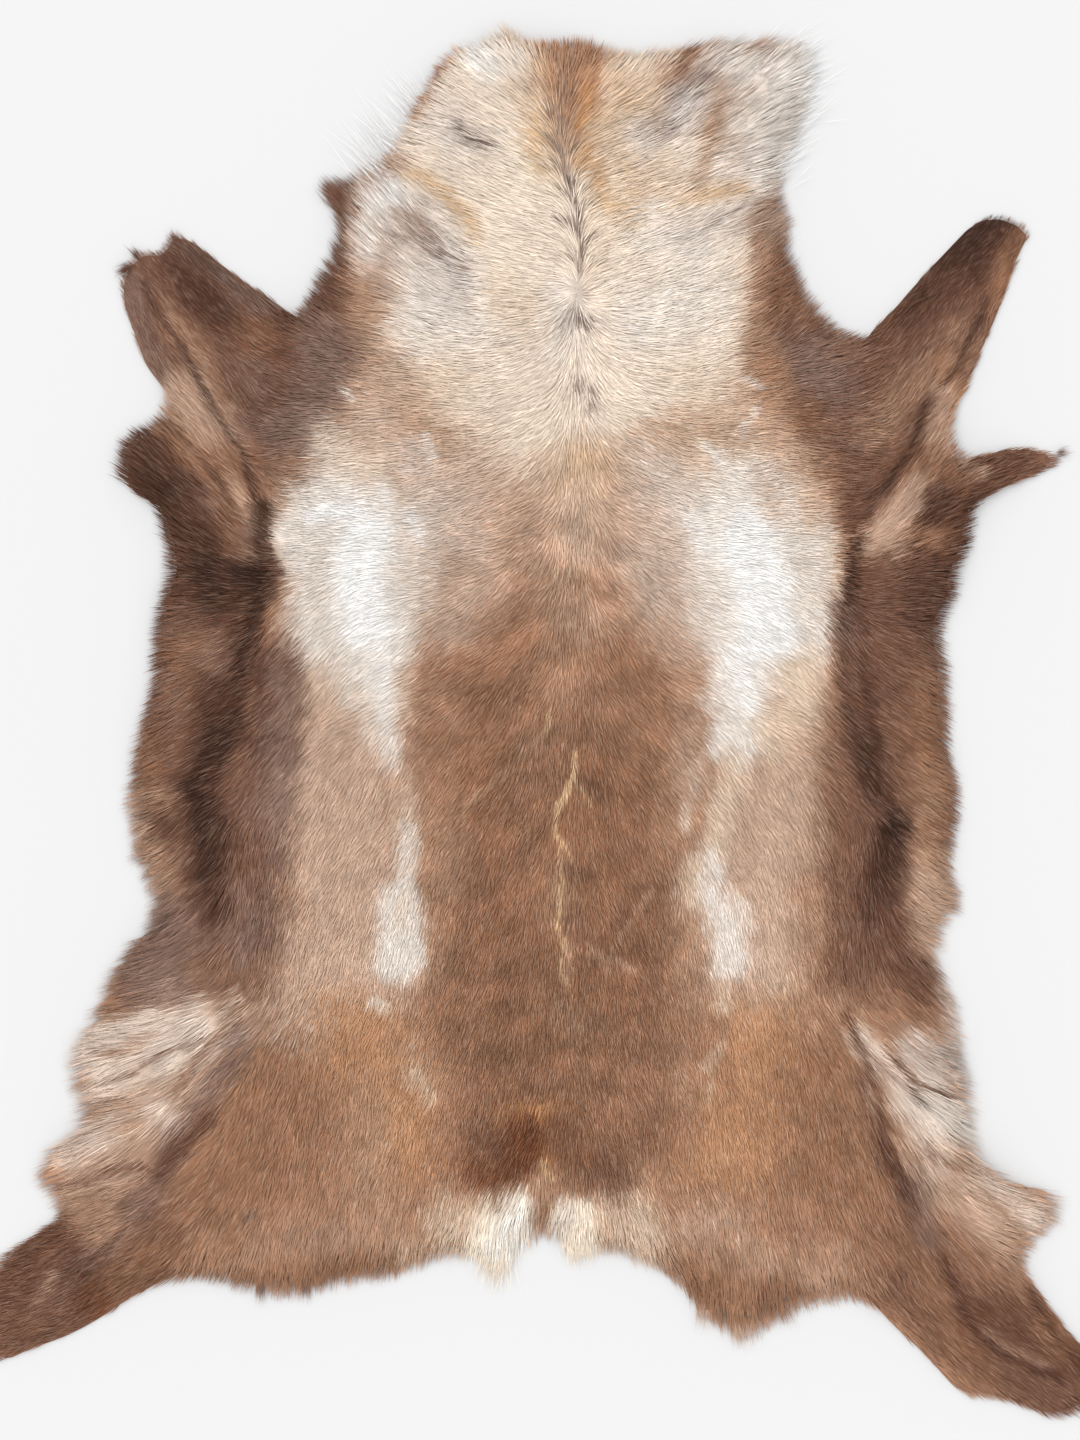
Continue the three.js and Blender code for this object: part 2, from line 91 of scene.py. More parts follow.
coat = {
    "base": "fawn", "mingling": 0.5, "minglingDark": 0.85, "pickStep": 0.618, "crisp": 3.0,
    # marks thinner than the fine width keep closer to their route
    "fineWidth": 4.5, "fineWander": 0.35,
    "wanderAcross": [(7.0, 46.0, 3), (4.0, 12.0, 5)], "wanderDown": [(9.0, 46.0, 7), (4.5, 12.0, 9)],
    "tufts": 0.13, "tuftWaves": [(0.5, 24.0, 51), (0.6, 7.5, 53)],
    "paleFrom": 0.6, "paleOver": 0.25, "paleCalm": 0.6,
    "brindle": 0.16, "brindleLean": (0.7, 0.15), "brindleSize": 24.0, "brindleSeed": 57,
    "spine": [(560, 610), (556, 1010)], "spineHalf": 60.0, "spineFade": 110.0,
    # each shade as it looks in plain light: red, green and blue from 0 to 255
    "shades": {
        "snow": (237, 232, 227), "ivory": (228, 217, 207), "pearl": (221, 209, 198),
        "haze": (203, 182, 167), "cream": (228, 211, 194), "oat": (216, 193, 172),
        "gold": (208, 174, 138), "amber": (200, 150, 104), "tan": (197, 168, 148), "wheat": (180, 145, 121),
        "ochre": (184, 140, 108), "fawn": (165, 126, 102), "hazel": (149, 111, 87), "nut": (136, 99, 78),
        "umber": (120, 88, 73), "cocoa": (102, 71, 57), "bark": (82, 57, 46), "pitch": (52, 35, 29),
        # smoke and slate: dark hair with a painted grey sheen
        "rust": (172, 128, 100), "sienna": (112, 70, 48), "smokeSheen": (134, 110, 100), "slateSheen": (112, 94, 88),
        "ash": (204, 191, 182), "blush": (193, 163, 143), "rose": (216, 196, 181), "straw": (236, 220, 201),
    },
    # painted one over the other: shade, share, half width, soft edge, route over the board
    "marks": [
        # saddle and loin
        ("hazel", 0.85, 120, 50, [(550, 720), (560, 960)]),
        ("nut", 0.35, 60, 50, [(490, 740), (500, 800), (480, 930), (500, 1060)]),
        ("nut", 0.45, 50, 45, [(600, 740), (640, 840), (620, 960), (610, 1020)]),
        ("nut", 0.45, 36, 40, [(500, 1110), (630, 1110)]),
        ("tan", 1.0, 62, 34, [(350, 690), (338, 780), (345, 900), (350, 975)]),
        ("tan", 1.0, 56, 34, [(765, 700), (768, 780), (765, 880), (750, 965)]),
        ("wheat", 0.55, 22, 24, [(430, 760), (440, 860), (428, 960)]),
        ("wheat", 0.55, 22, 22, [(690, 740), (680, 830), (690, 900), (700, 1000)]),
        ("oat", 1.0, 120, 60, [(500, 330), (470, 430), (450, 470)]),
        ("oat", 1.0, 120, 60, [(600, 330), (640, 430), (670, 480)]),
        ("oat", 0.8, 60, 60, [(575, 420), (576, 480)]),
        ("tan", 0.9, 80, 56, [(480, 500), (450, 600)]),
        ("tan", 0.9, 70, 56, [(620, 480), (670, 560)]),
        ("gold", 0.5, 30, 34, [(578, 460), (577, 545)]),
        ("tan", 0.7, 26, 24, [(520, 524), (546, 556)]),
        ("wheat", 0.8, 46, 50, [(565, 565), (560, 600)]),
        ("fawn", 0.9, 60, 46, [(520, 590), (560, 630), (620, 610)]),
        ("fawn", 1.0, 70, 44, [(480, 660), (560, 660), (640, 680)]),
        ("wheat", 0.5, 26, 26, [(440, 590), (470, 560)]),
        ("hazel", 0.35, 26, 26, [(500, 625), (480, 690)]),
        ("hazel", 0.5, 30, 26, [(600, 655), (650, 700)]),
        # pale sides of the saddle
        ("pearl", 1.0, 58, 22, [(334, 520), (340, 600), (352, 640)]),
        ("haze", 0.8, 44, 34, [(436, 500), (452, 560), (450, 596)]),
        ("ivory", 0.95, 38, 20, [(352, 510), (366, 560), (376, 630)]),
        ("ivory", 0.95, 19, 14, [(374, 650), (382, 700), (390, 742)]),
        ("pearl", 0.6, 24, 20, [(410, 520), (412, 600)]),
        ("oat", 0.7, 20, 16, [(318, 690), (350, 706)]),
        ("pearl", 0.7, 18, 16, [(318, 640), (338, 670)]),
        ("tan", 0.6, 36, 24, [(316, 706), (334, 740)]),
        ("pearl", 1.0, 62, 24, [(748, 520), (760, 590), (768, 630)]),
        ("haze", 0.7, 30, 28, [(662, 500), (676, 570), (688, 620)]),
        ("pearl", 0.6, 22, 20, [(688, 496), (700, 560), (708, 620)]),
        ("ivory", 0.95, 42, 20, [(738, 530), (754, 590), (760, 640)]),
        ("ivory", 0.95, 27, 14, [(750, 650), (742, 700), (738, 738)]),
        ("pearl", 0.9, 24, 14, [(812, 524), (814, 600), (804, 650)]),
        ("oat", 0.8, 22, 16, [(800, 670), (790, 716)]),
        ("oat", 0.4, 8, 10, [(834, 540), (834, 600)]),
        ("oat", 0.8, 13, 10, [(736, 766), (722, 820), (716, 850)]),
        ("pearl", 0.5, 6, 6, [(700, 760), (690, 800), (684, 826)]),
        ("ivory", 0.85, 13, 9, [(714, 866), (712, 900)]),
        ("ivory", 0.9, 20, 11, [(722, 922), (732, 962)]),
        ("ivory", 0.6, 5, 5, [(734, 896), (752, 908)]),
        ("oat", 0.7, 9, 8, [(696, 866), (694, 900)]),
        ("oat", 0.75, 10, 9, [(408, 800), (408, 820)]),
        ("pearl", 0.8, 12, 8, [(409, 836), (408, 872)]),
        ("pearl", 1.0, 24, 11, [(401, 900), (399, 960)]),
        ("tan", 0.6, 26, 20, [(300, 1000), (262, 990)]),
        ("snow", 0.8, 8, 7, [(308, 516), (352, 510)]),
        ("snow", 0.9, 24, 13, [(364, 536), (356, 584), (366, 624)]),
        ("snow", 0.6, 6, 5, [(404, 512), (420, 540)]),
        ("snow", 0.5, 5, 5, [(376, 474), (384, 506)]),
        ("snow", 0.35, 8, 8, [(378, 650), (386, 720)]),
        ("snow", 0.9, 27, 13, [(750, 538), (764, 590), (768, 632)]),
        ("snow", 0.6, 16, 10, [(744, 656), (740, 704)]),
        ("snow", 0.5, 7, 6, [(690, 520), (712, 556)]),
        ("ivory", 0.5, 14, 9, [(398, 936), (400, 956)]),
        ("fawn", 0.55, 12, 10, [(432, 690), (438, 760), (444, 800)]),
        ("oat", 0.6, 9, 9, [(408, 680), (410, 716)]),
        ("tan", 0.7, 12, 11, [(402, 766), (408, 800)]),
        ("nut", 0.5, 28, 26, [(468, 690), (500, 708)]),
        ("hazel", 0.4, 14, 12, [(700, 720), (694, 750)]),
        # neck
        ("cream", 1.0, 70, 22, [(450, 110), (480, 180), (490, 260), (480, 330)]),
        ("cream", 1.0, 80, 24, [(660, 190), (680, 270), (660, 340)]),
        ("cream", 1.0, 46, 22, [(540, 190), (550, 330), (545, 395)]),
        ("cream", 0.9, 40, 22, [(620, 330), (610, 400)]),
        ("cream", 0.8, 40, 30, [(490, 400), (520, 430)]),
        ("cream", 0.8, 36, 20, [(500, 45), (470, 70)]),
        ("ivory", 0.6, 18, 12, [(498, 48), (516, 60)]),
        ("gold", 0.4, 18, 16, [(540, 70), (536, 120), (546, 170)]),
        ("gold", 0.5, 8, 7, [(538, 112), (529, 146), (536, 172)]),
        ("oat", 0.9, 32, 20, [(620, 60), (630, 130), (650, 180)]),
        ("gold", 0.45, 16, 14, [(600, 120), (620, 170), (626, 220)]),
        ("ash", 0.45, 22, 16, [(440, 118), (480, 146)]),
        ("ash", 0.8, 34, 18, [(386, 214), (420, 240), (450, 282)]),
        ("ivory", 0.9, 14, 10, [(372, 212), (388, 198), (406, 194)]),
        ("ivory", 0.7, 14, 10, [(370, 232), (374, 254)]),
        ("gold", 0.65, 7, 6, [(408, 180), (440, 194), (463, 212), (474, 240)]),
        ("ivory", 0.6, 30, 20, [(410, 330), (470, 320)]),
        ("oat", 0.6, 22, 18, [(500, 300), (530, 310)]),
        ("straw", 0.5, 24, 20, [(520, 160), (500, 230), (520, 280)]),
        ("ivory", 0.6, 24, 18, [(650, 230), (690, 250)]),
        ("ivory", 0.7, 30, 20, [(700, 300), (640, 320)]),
        ("ash", 0.5, 16, 12, [(690, 236), (740, 205)]),
        ("ash", 0.65, 26, 16, [(690, 110), (740, 66), (770, 56)]),
        ("ash", 0.7, 20, 12, [(650, 126), (690, 100)]),
        ("ivory", 0.9, 24, 14, [(782, 80), (778, 130), (764, 180)]),
        ("ivory", 0.6, 20, 14, [(740, 130), (735, 165)]),
        ("straw", 0.5, 9, 8, [(800, 60), (806, 100), (790, 150)]),
        ("hazel", 0.75, 5, 5, [(722, 38), (696, 46), (682, 58), (680, 70)]),
        ("wheat", 0.6, 6, 6, [(682, 66), (690, 84), (706, 92)]),
        ("wheat", 0.6, 8, 8, [(706, 88), (720, 112), (712, 148), (700, 178)]),
        ("gold", 0.6, 7, 7, [(684, 196), (714, 190), (742, 188)]),
        ("gold", 0.5, 14, 12, [(640, 100), (620, 60)]),
        ("rust", 0.7, 13, 10, [(566, 36), (582, 54), (590, 80)]),
        ("gold", 0.4, 10, 10, [(586, 60), (592, 76)]),
        ("rust", 0.5, 6, 6, [(556, 36), (564, 60), (556, 96)]),
        ("rust", 0.85, 10, 8, [(550, 36), (590, 34), (622, 44)]),
        ("rust", 0.6, 8, 7, [(598, 56), (587, 100), (586, 156)]),
        ("gold", 0.7, 8, 7, [(586, 150), (596, 180), (608, 208)]),
        ("sienna", 0.4, 5, 5, [(598, 38), (584, 52), (574, 66)]),
        ("amber", 0.75, 7, 8, [(588, 90), (586, 124), (592, 152), (597, 184)]),
        ("gold", 0.6, 9, 9, [(528, 110), (530, 152)]),
        ("slateSheen", 0.5, 8, 7, [(562, 325), (586, 326)]),
        ("slateSheen", 0.6, 2.5, 3, [(568, 64), (560, 100), (557, 124), (560, 148), (570, 182), (574, 206)]),
        ("slateSheen", 0.65, 2.5, 3.5, [(574, 206), (575, 220), (582, 240), (580, 262), (577, 300), (575, 330)]),
        ("slateSheen", 0.35, 5, 6, [(578, 296), (575, 326)]),
        ("slateSheen", 0.60, 2, 2.5, [(566, 84), (560, 79), (554, 72)]),
        ("slateSheen", 0.45, 2, 2.5, [(562, 104), (570, 97), (579, 89)]),
        ("slateSheen", 0.60, 2, 2.5, [(560, 118), (552, 113), (545, 106)]),
        ("slateSheen", 0.55, 2, 2.5, [(559, 132), (565, 125), (572, 117)]),
        ("slateSheen", 0.70, 2, 2.5, [(560, 146), (551, 141), (542, 134)]),
        ("slateSheen", 0.60, 2, 2.5, [(563, 158), (571, 151), (579, 143)]),
        ("slateSheen", 0.65, 2, 2.5, [(567, 172), (560, 167), (553, 160)]),
        ("slateSheen", 0.50, 2, 2.5, [(571, 186), (577, 179), (583, 171)]),
        ("slateSheen", 0.60, 2, 2.5, [(574, 200), (565, 195), (557, 188)]),
        ("slateSheen", 0.55, 2, 2.5, [(575, 214), (582, 207), (590, 199)]),
        ("slateSheen", 0.45, 2, 2.5, [(579, 232), (572, 227), (566, 220)]),
        ("slateSheen", 0.50, 2, 2.5, [(581, 246), (590, 239), (599, 231)]),
        ("slateSheen", 0.40, 2, 2.5, [(580, 262), (572, 257), (564, 250)]),
        ("slateSheen", 0.50, 2, 2.5, [(579, 278), (586, 271), (593, 263)]),
        ("slateSheen", 0.50, 2, 2.5, [(577, 292), (571, 287), (565, 280)]),
        ("slateSheen", 0.45, 2, 2.5, [(576, 306), (584, 299), (593, 291)]),
        ("slateSheen", 0.6, 3, 3, [(558, 221), (572, 219), (582, 224)]),
        ("slateSheen", 0.45, 4, 4, [(556, 322), (572, 318), (588, 326)]),
        ("slateSheen", 0.5, 5, 5, [(458, 128), (484, 148)]),
        ("slateSheen", 0.5, 6, 6, [(390, 238), (416, 242)]),
        ("slateSheen", 0.4, 12, 9, [(398, 216), (420, 236), (446, 260)]),
        ("umber", 0.5, 2, 3, [(398, 210), (424, 230), (448, 252), (464, 272)]),
        ("slateSheen", 0.6, 2.5, 3, [(404, 226), (430, 248), (452, 268)]),
        ("slateSheen", 0.5, 2, 3, [(418, 214), (446, 236), (466, 262)]),
        ("slateSheen", 0.25, 5, 5, [(398, 262), (430, 270)]),
        ("slateSheen", 0.35, 4, 4, [(422, 322), (436, 328)]),
        ("slateSheen", 0.42, 11, 9, [(696, 84), (672, 104), (652, 132)]),
        ("umber", 0.5, 2, 3, [(700, 78), (672, 98), (652, 124)]),
        ("slateSheen", 0.5, 2.5, 3, [(712, 94), (690, 110), (668, 138)]),
        ("slateSheen", 0.5, 2.5, 3, [(690, 68), (662, 92), (648, 114)]),
        ("slateSheen", 0.4, 5, 5, [(730, 58), (700, 84)]),
        ("slateSheen", 0.3, 4, 4, [(706, 226), (740, 206)]),
        ("slateSheen", 0.3, 4, 4, [(576, 396), (582, 388), (594, 392), (598, 402), (590, 412)]),
        # shoulders and forelegs
        ("umber", 1.0, 66, 26, [(286, 350), (240, 400)]),
        ("umber", 1.0, 31, 13, [(326, 205), (310, 300), (316, 340)]),
        ("smokeSheen", 0.85, 44, 26, [(320, 360), (260, 380), (280, 430)]),
        ("smokeSheen", 0.6, 26, 24, [(330, 400), (300, 430)]),
        ("wheat", 0.55, 14, 12, [(364, 292), (374, 360), (352, 410)]),
        ("tan", 0.75, 36, 26, [(390, 400), (380, 440)]),
        ("wheat", 0.5, 16, 14, [(410, 420), (440, 440)]),
        ("cocoa", 0.6, 12, 10, [(336, 190), (342, 250), (318, 290), (334, 300)]),
        ("umber", 1.0, 60, 20, [(150, 270), (200, 320), (240, 360)]),
        ("cocoa", 0.7, 26, 18, [(180, 262), (220, 300), (260, 330)]),
        ("slateSheen", 0.5, 12, 10, [(180, 240), (230, 276), (270, 300)]),
        ("bark", 0.5, 16, 14, [(192, 296), (212, 310)]),
        ("bark", 0.5, 9, 8, [(176, 268), (206, 296), (240, 326)]),
        ("smokeSheen", 0.7, 16, 10, [(128, 290), (142, 340), (160, 380)]),
        ("wheat", 0.5, 10, 9, [(166, 312), (200, 366), (228, 420)]),
        ("blush", 0.75, 22, 14, [(180, 392), (200, 424), (222, 452)]),
        ("blush", 0.65, 10, 8, [(196, 444), (226, 476), (258, 524)]),
        ("umber", 1.0, 62, 24, [(838, 350), (860, 406)]),
        ("umber", 0.9, 24, 16, [(868, 440), (866, 490)]),
        ("umber", 1.0, 34, 14, [(790, 220), (792, 280), (806, 330)]),
        ("nut", 0.6, 20, 14, [(780, 230), (782, 300), (772, 360)]),
        ("smokeSheen", 0.85, 38, 26, [(802, 370), (850, 370), (846, 408)]),
        ("wheat", 0.5, 12, 10, [(762, 250), (756, 330), (768, 380)]),
        ("tan", 0.55, 24, 22, [(744, 396), (764, 430), (788, 452)]),
        ("wheat", 0.45, 16, 14, [(640, 440), (700, 420), (730, 440)]),
        ("hazel", 0.5, 10, 9, [(826, 316), (846, 326)]),
        ("umber", 1.0, 56, 20, [(890, 330), (950, 270), (1010, 235)]),
        ("cocoa", 0.8, 26, 18, [(900, 320), (950, 270), (990, 226)]),
        ("bark", 0.7, 13, 10, [(944, 262), (984, 220), (1004, 216)]),
        ("hazel", 0.7, 11, 9, [(1024, 226), (1004, 270), (980, 340)]),
        ("umber", 1.0, 40, 20, [(900, 390), (940, 350), (960, 340)]),
        ("wheat", 0.55, 20, 16, [(870, 430), (910, 390), (940, 370)]),
        ("hazel", 0.6, 16, 12, [(950, 370), (960, 400)]),
        ("blush", 0.7, 14, 10, [(946, 400), (936, 430), (942, 448)]),
        # flaps behind the elbows
        ("cocoa", 1.0, 50, 18, [(130, 470), (170, 520), (190, 570)]),
        ("bark", 0.7, 24, 14, [(134, 452), (170, 490), (200, 540)]),
        ("pitch", 0.45, 10, 9, [(146, 466), (170, 490)]),
        ("hazel", 0.55, 12, 9, [(166, 424), (194, 450), (220, 480)]),
        ("nut", 0.6, 14, 12, [(216, 500), (236, 540), (226, 560)]),
        # painted shadow under the left flap
        ("bark", 0.9, 26, 14, [(198, 584), (246, 580)]),
        ("pitch", 0.85, 16, 12, [(206, 584), (240, 578)]),
        ("cocoa", 1.0, 44, 16, [(900, 600), (950, 540), (966, 500)]),
        ("umber", 0.9, 24, 12, [(976, 480), (1020, 464), (1060, 456)]),
        ("cocoa", 0.6, 12, 9, [(990, 464), (1020, 458)]),
        ("blush", 0.85, 17, 11, [(876, 542), (900, 512), (920, 478)]),
        ("hazel", 0.8, 10, 8, [(926, 458), (950, 474), (962, 484)]),
        ("blush", 0.7, 9, 7, [(966, 458), (982, 468)]),
        ("bark", 0.5, 16, 12, [(940, 500), (926, 560)]),
        # flanks and belly
        ("umber", 1.0, 62, 22, [(196, 640), (184, 740), (182, 830)]),
        ("cocoa", 0.7, 30, 20, [(170, 600), (158, 660)]),
        ("wheat", 0.3, 12, 12, [(212, 640), (210, 680)]),
        ("smokeSheen", 0.45, 22, 14, [(180, 640), (204, 648), (214, 668)]),
        ("hazel", 0.5, 16, 14, [(186, 640), (172, 700)]),
        ("umber", 0.9, 22, 12, [(280, 660), (276, 740)]),
        ("smokeSheen", 0.75, 26, 16, [(276, 680), (272, 760), (262, 840), (262, 930)]),
        ("cocoa", 0.7, 18, 14, [(250, 660), (258, 700)]),
        # dark hair and painted shade along the fold down the left flank
        ("bark", 0.7, 9, 9, [(262, 512), (263, 560), (256, 600), (250, 640), (238, 690)]),
        ("bark", 0.8, 12, 12, [(228, 690), (230, 734), (206, 762), (194, 780), (204, 830), (216, 876),
            (222, 910)]),
        ("umber", 0.6, 16, 12, [(208, 690), (204, 726)]),
        ("pitch", 0.85, 11, 10, [(230, 722), (229, 742)]),
        ("pitch", 0.5, 7, 7, [(192, 776), (205, 830), (216, 872)]),
        ("wheat", 0.7, 13, 10, [(134, 796), (160, 800)]),
        ("hazel", 0.6, 15, 12, [(136, 740), (150, 770)]),
        ("wheat", 0.75, 14, 11, [(142, 840), (164, 866), (160, 900)]),
        ("umber", 0.9, 44, 24, [(230, 860), (236, 930)]),
        ("smokeSheen", 0.8, 34, 22, [(170, 930), (150, 980), (210, 960)]),
        ("smokeSheen", 0.6, 26, 20, [(246, 950), (240, 1000)]),
        ("umber", 1.0, 58, 11, [(914, 612), (904, 650), (908, 740), (914, 850), (910, 930)]),
        ("hazel", 0.6, 20, 16, [(930, 690), (936, 760), (940, 830)]),
        ("wheat", 0.85, 22, 14, [(936, 862), (930, 905), (936, 940)]),
        ("umber", 0.8, 26, 20, [(858, 730), (852, 800), (846, 900), (850, 960)]),
        # dark hair and painted shade along the fold down the right flank, below the foreleg
        ("bark", 0.75, 8, 9, [(857, 540), (857, 580), (862, 630), (870, 690), (874, 752)]),
        ("bark", 0.8, 12, 12, [(868, 748), (882, 791), (894, 822), (874, 858), (872, 910)]),
        ("pitch", 0.75, 11, 10, [(900, 824), (888, 838)]),
        ("cocoa", 0.6, 18, 16, [(896, 870), (894, 960), (916, 1000)]),
        ("ash", 0.7, 13, 11, [(944, 960), (950, 1000), (956, 1040)]),
        ("rose", 0.6, 12, 10, [(950, 930), (946, 950)]),
        ("umber", 0.7, 20, 16, [(860, 960), (866, 1000)]),
        # hams and thighs
        ("hazel", 0.7, 60, 34, [(280, 1080), (262, 1150), (230, 1200)]),
        ("ochre", 0.85, 44, 34, [(346, 1036), (396, 1080)]),
        ("ochre", 0.8, 34, 26, [(400, 1130), (410, 1170)]),
        ("ochre", 0.85, 44, 34, [(764, 1040), (760, 1090), (736, 1150)]),
        ("wheat", 0.42, 22, 20, [(366, 1120), (374, 1150), (382, 1184)]),
        ("haze", 0.2, 16, 14, [(408, 1052), (428, 1078)]),
        ("ash", 0.22, 24, 16, [(252, 1020), (302, 1032)]),
        ("ochre", 0.5, 30, 26, [(680, 1190), (740, 1170)]),
        ("hazel", 0.8, 44, 30, [(840, 1060), (850, 1130), (860, 1200)]),
        ("hazel", 0.5, 40, 30, [(800, 1110), (810, 1170)]),
        ("sienna", 0.9, 27, 18, [(534, 1134), (496, 1174)]),
        ("bark", 0.4, 14, 12, [(488, 1178), (512, 1172)]),
        ("amber", 0.35, 8, 9, [(500, 1116), (528, 1108), (564, 1110)]),
        ("sienna", 0.5, 20, 18, [(470, 1180), (500, 1180)]),
        ("nut", 0.6, 30, 22, [(600, 1150), (626, 1170)]),
        ("amber", 0.5, 9, 9, [(546, 1112), (552, 1158)]),
        ("fawn", 0.8, 40, 26, [(280, 1246), (440, 1226)]),
        ("wheat", 0.35, 24, 20, [(216, 1256), (300, 1240), (400, 1226)]),
        ("smokeSheen", 0.35, 20, 18, [(310, 1246), (370, 1240)]),
        ("hazel", 0.8, 14, 14, [(180, 1290), (300, 1280), (420, 1262)]),
        ("fawn", 0.8, 40, 26, [(700, 1230), (820, 1250)]),
        ("tan", 0.55, 24, 18, [(700, 1226), (760, 1256), (830, 1270)]),
        ("hazel", 0.8, 18, 14, [(700, 1290), (750, 1300), (790, 1290)]),
        ("oat", 0.8, 30, 24, [(456, 1224), (466, 1244)]),
        ("oat", 0.8, 28, 18, [(612, 1216), (640, 1244)]),
        ("straw", 1.0, 29, 9, [(504, 1216), (500, 1238), (497, 1262)]),
        ("snow", 0.5, 17, 10, [(512, 1208), (506, 1250)]),
        ("straw", 0.5, 9, 8, [(478, 1220), (476, 1240)]),
        ("wheat", 0.85, 6, 5, [(541, 1186), (546, 1226)]),
        ("straw", 1.0, 21, 7, [(573, 1212), (573, 1234), (580, 1254)]),
        ("ash", 0.5, 8, 7, [(566, 1204), (560, 1230)]),
        ("rose", 1.0, 26, 7, [(108, 1052), (160, 1034), (196, 1024), (220, 1018)]),
        ("rose", 0.9, 12, 6, [(214, 1012), (232, 1006)]),
        ("rose", 1.0, 20, 12, [(108, 1086), (160, 1072), (200, 1040)]),
        ("cream", 0.4, 10, 9, [(130, 1088), (172, 1066), (204, 1034), (226, 1010)]),
        ("blush", 0.9, 22, 16, [(140, 1106), (190, 1080)]),
        ("rose", 0.9, 22, 13, [(64, 1150), (110, 1136), (160, 1120)]),
        ("blush", 0.85, 18, 12, [(74, 1190), (110, 1180), (150, 1140)]),
        ("wheat", 0.7, 18, 14, [(70, 1216), (120, 1206)]),
        ("smokeSheen", 0.7, 15, 10, [(240, 1030), (222, 1080), (186, 1130), (146, 1200), (112, 1240)]),
        ("cocoa", 0.8, 8, 8, [(206, 1118), (184, 1144), (160, 1180)]),
        ("umber", 1.0, 60, 24, [(110, 1250), (50, 1290), (-40, 1320)]),
        ("cocoa", 0.55, 24, 18, [(60, 1250), (20, 1270), (-20, 1290)]),
        ("smokeSheen", 0.5, 12, 10, [(140, 1200), (104, 1250), (60, 1292)]),
        ("bark", 0.5, 12, 10, [(100, 1274), (80, 1280)]),
        ("hazel", 0.6, 22, 16, [(160, 1250), (120, 1284)]),
        ("rose", 1.0, 13, 9, [(862, 1040), (888, 1080), (906, 1112)]),
        ("rose", 1.0, 24, 13, [(910, 1090), (944, 1120), (966, 1150)]),
        ("pearl", 1.0, 22, 11, [(916, 1098), (940, 1118), (956, 1138)]),
        ("ash", 0.75, 20, 14, [(916, 1050), (950, 1066)]),
        ("rose", 0.9, 22, 13, [(964, 1180), (1010, 1206), (1030, 1220)]),
        ("blush", 0.9, 22, 14, [(916, 1130), (946, 1180), (990, 1230)]),
        ("blush", 0.6, 16, 12, [(980, 1240), (1010, 1270)]),
        ("umber", 0.9, 14, 12, [(872, 1084), (882, 1130), (898, 1170), (912, 1206)]),
        ("umber", 1.0, 50, 22, [(930, 1270), (990, 1330), (1060, 1380), (1100, 1400)]),
        ("cocoa", 0.5, 22, 18, [(966, 1320), (1000, 1346)]),
        ("hazel", 0.7, 20, 16, [(900, 1240), (960, 1330), (1000, 1370)]),
        ("fawn", 0.6, 16, 14, [(960, 1250), (1010, 1300)]),
        ("cocoa", 0.7, 14, 12, [(1000, 1300), (1050, 1360), (1090, 1370)]),
        # small touches, lighter and darker
        ("cream", 0.7, 22, 16, [(640, 56), (664, 50)]),
        ("cream", 0.5, 18, 14, [(526, 92), (534, 110)]),
        ("oat", 0.6, 16, 12, [(646, 92), (656, 110)]),
        ("ivory", 0.8, 18, 14, [(722, 54), (748, 65)]),
        ("snow", 0.6, 13, 10, [(476, 56), (484, 70)]),
        ("ivory", 0.7, 16, 12, [(406, 254), (414, 270)]),
        ("ivory", 0.5, 18, 16, [(556, 300), (562, 350)]),
        ("ash", 0.6, 16, 12, [(366, 172), (374, 190)]),
        ("tan", 0.7, 18, 14, [(368, 240), (372, 276)]),
        ("tan", 0.8, 16, 13, [(766, 215), (775, 225)]),
        ("umber", 0.8, 14, 12, [(857, 482), (853, 514)]),
        ("oat", 0.6, 16, 14, [(812, 494), (808, 512)]),
        ("oat", 0.75, 16, 13, [(767, 732), (773, 749)]),
        ("fawn", 0.5, 18, 14, [(408, 738), (414, 748)]),
        ("haze", 0.35, 12, 12, [(284, 620), (290, 640)]),
        ("bark", 0.6, 14, 12, [(246, 606), (250, 636), (250, 666)]),
        ("umber", 0.7, 14, 12, [(248, 770), (250, 796)]),
        ("bark", 0.7, 20, 16, [(208, 850), (212, 910)]),
        ("nut", 0.6, 22, 16, [(212, 966), (220, 990), (250, 984)]),
        ("blush", 0.6, 20, 14, [(932, 890), (930, 940)]),
        ("blush", 0.6, 16, 12, [(884, 1092), (896, 1110)]),
        ("fawn", 0.6, 10, 10, [(888, 1136), (892, 1150)]),
        ("wheat", 0.8, 12, 10, [(936, 1154), (962, 1160)]),
        ("wheat", 0.7, 14, 12, [(920, 1164), (944, 1200)]),
        ("rose", 0.9, 18, 12, [(920, 1094), (938, 1109)]),
        ("blush", 0.6, 18, 12, [(926, 1170), (936, 1190)]),
        ("cream", 0.5, 16, 12, [(160, 1066), (182, 1056)]),
        ("rose", 0.8, 18, 12, [(160, 1064), (184, 1056)]),
        ("blush", 0.5, 18, 14, [(80, 1176), (100, 1186)]),
        ("wheat", 0.7, 18, 14, [(84, 1214), (104, 1226)]),
        ("nut", 0.8, 20, 16, [(476, 1176), (500, 1184)]),
        ("nut", 0.9, 20, 15, [(562, 1131), (574, 1152)]),
        # painted shadow under the left flap
        ("bark", 0.8, 20, 17, [(205, 568), (214, 601)]),
        ("rose", 0.8, 20, 12, [(80, 1056), (116, 1062)]),
        ("fawn", 0.6, 14, 12, [(920, 540), (940, 536)]),
        ("hazel", 0.85, 16, 14, [(568, 930), (576, 952)]),
        ("tan", 0.7, 20, 16, [(440, 620), (460, 576), (490, 580)]),
        ("blush", 0.6, 16, 14, [(886, 530), (896, 548)]),
        ("rose", 0.7, 18, 14, [(924, 1140), (936, 1160)]),
        ("tan", 0.6, 16, 16, [(690, 736), (692, 784)]),
        ("cream", 0.6, 18, 16, [(328, 456), (372, 462)]),
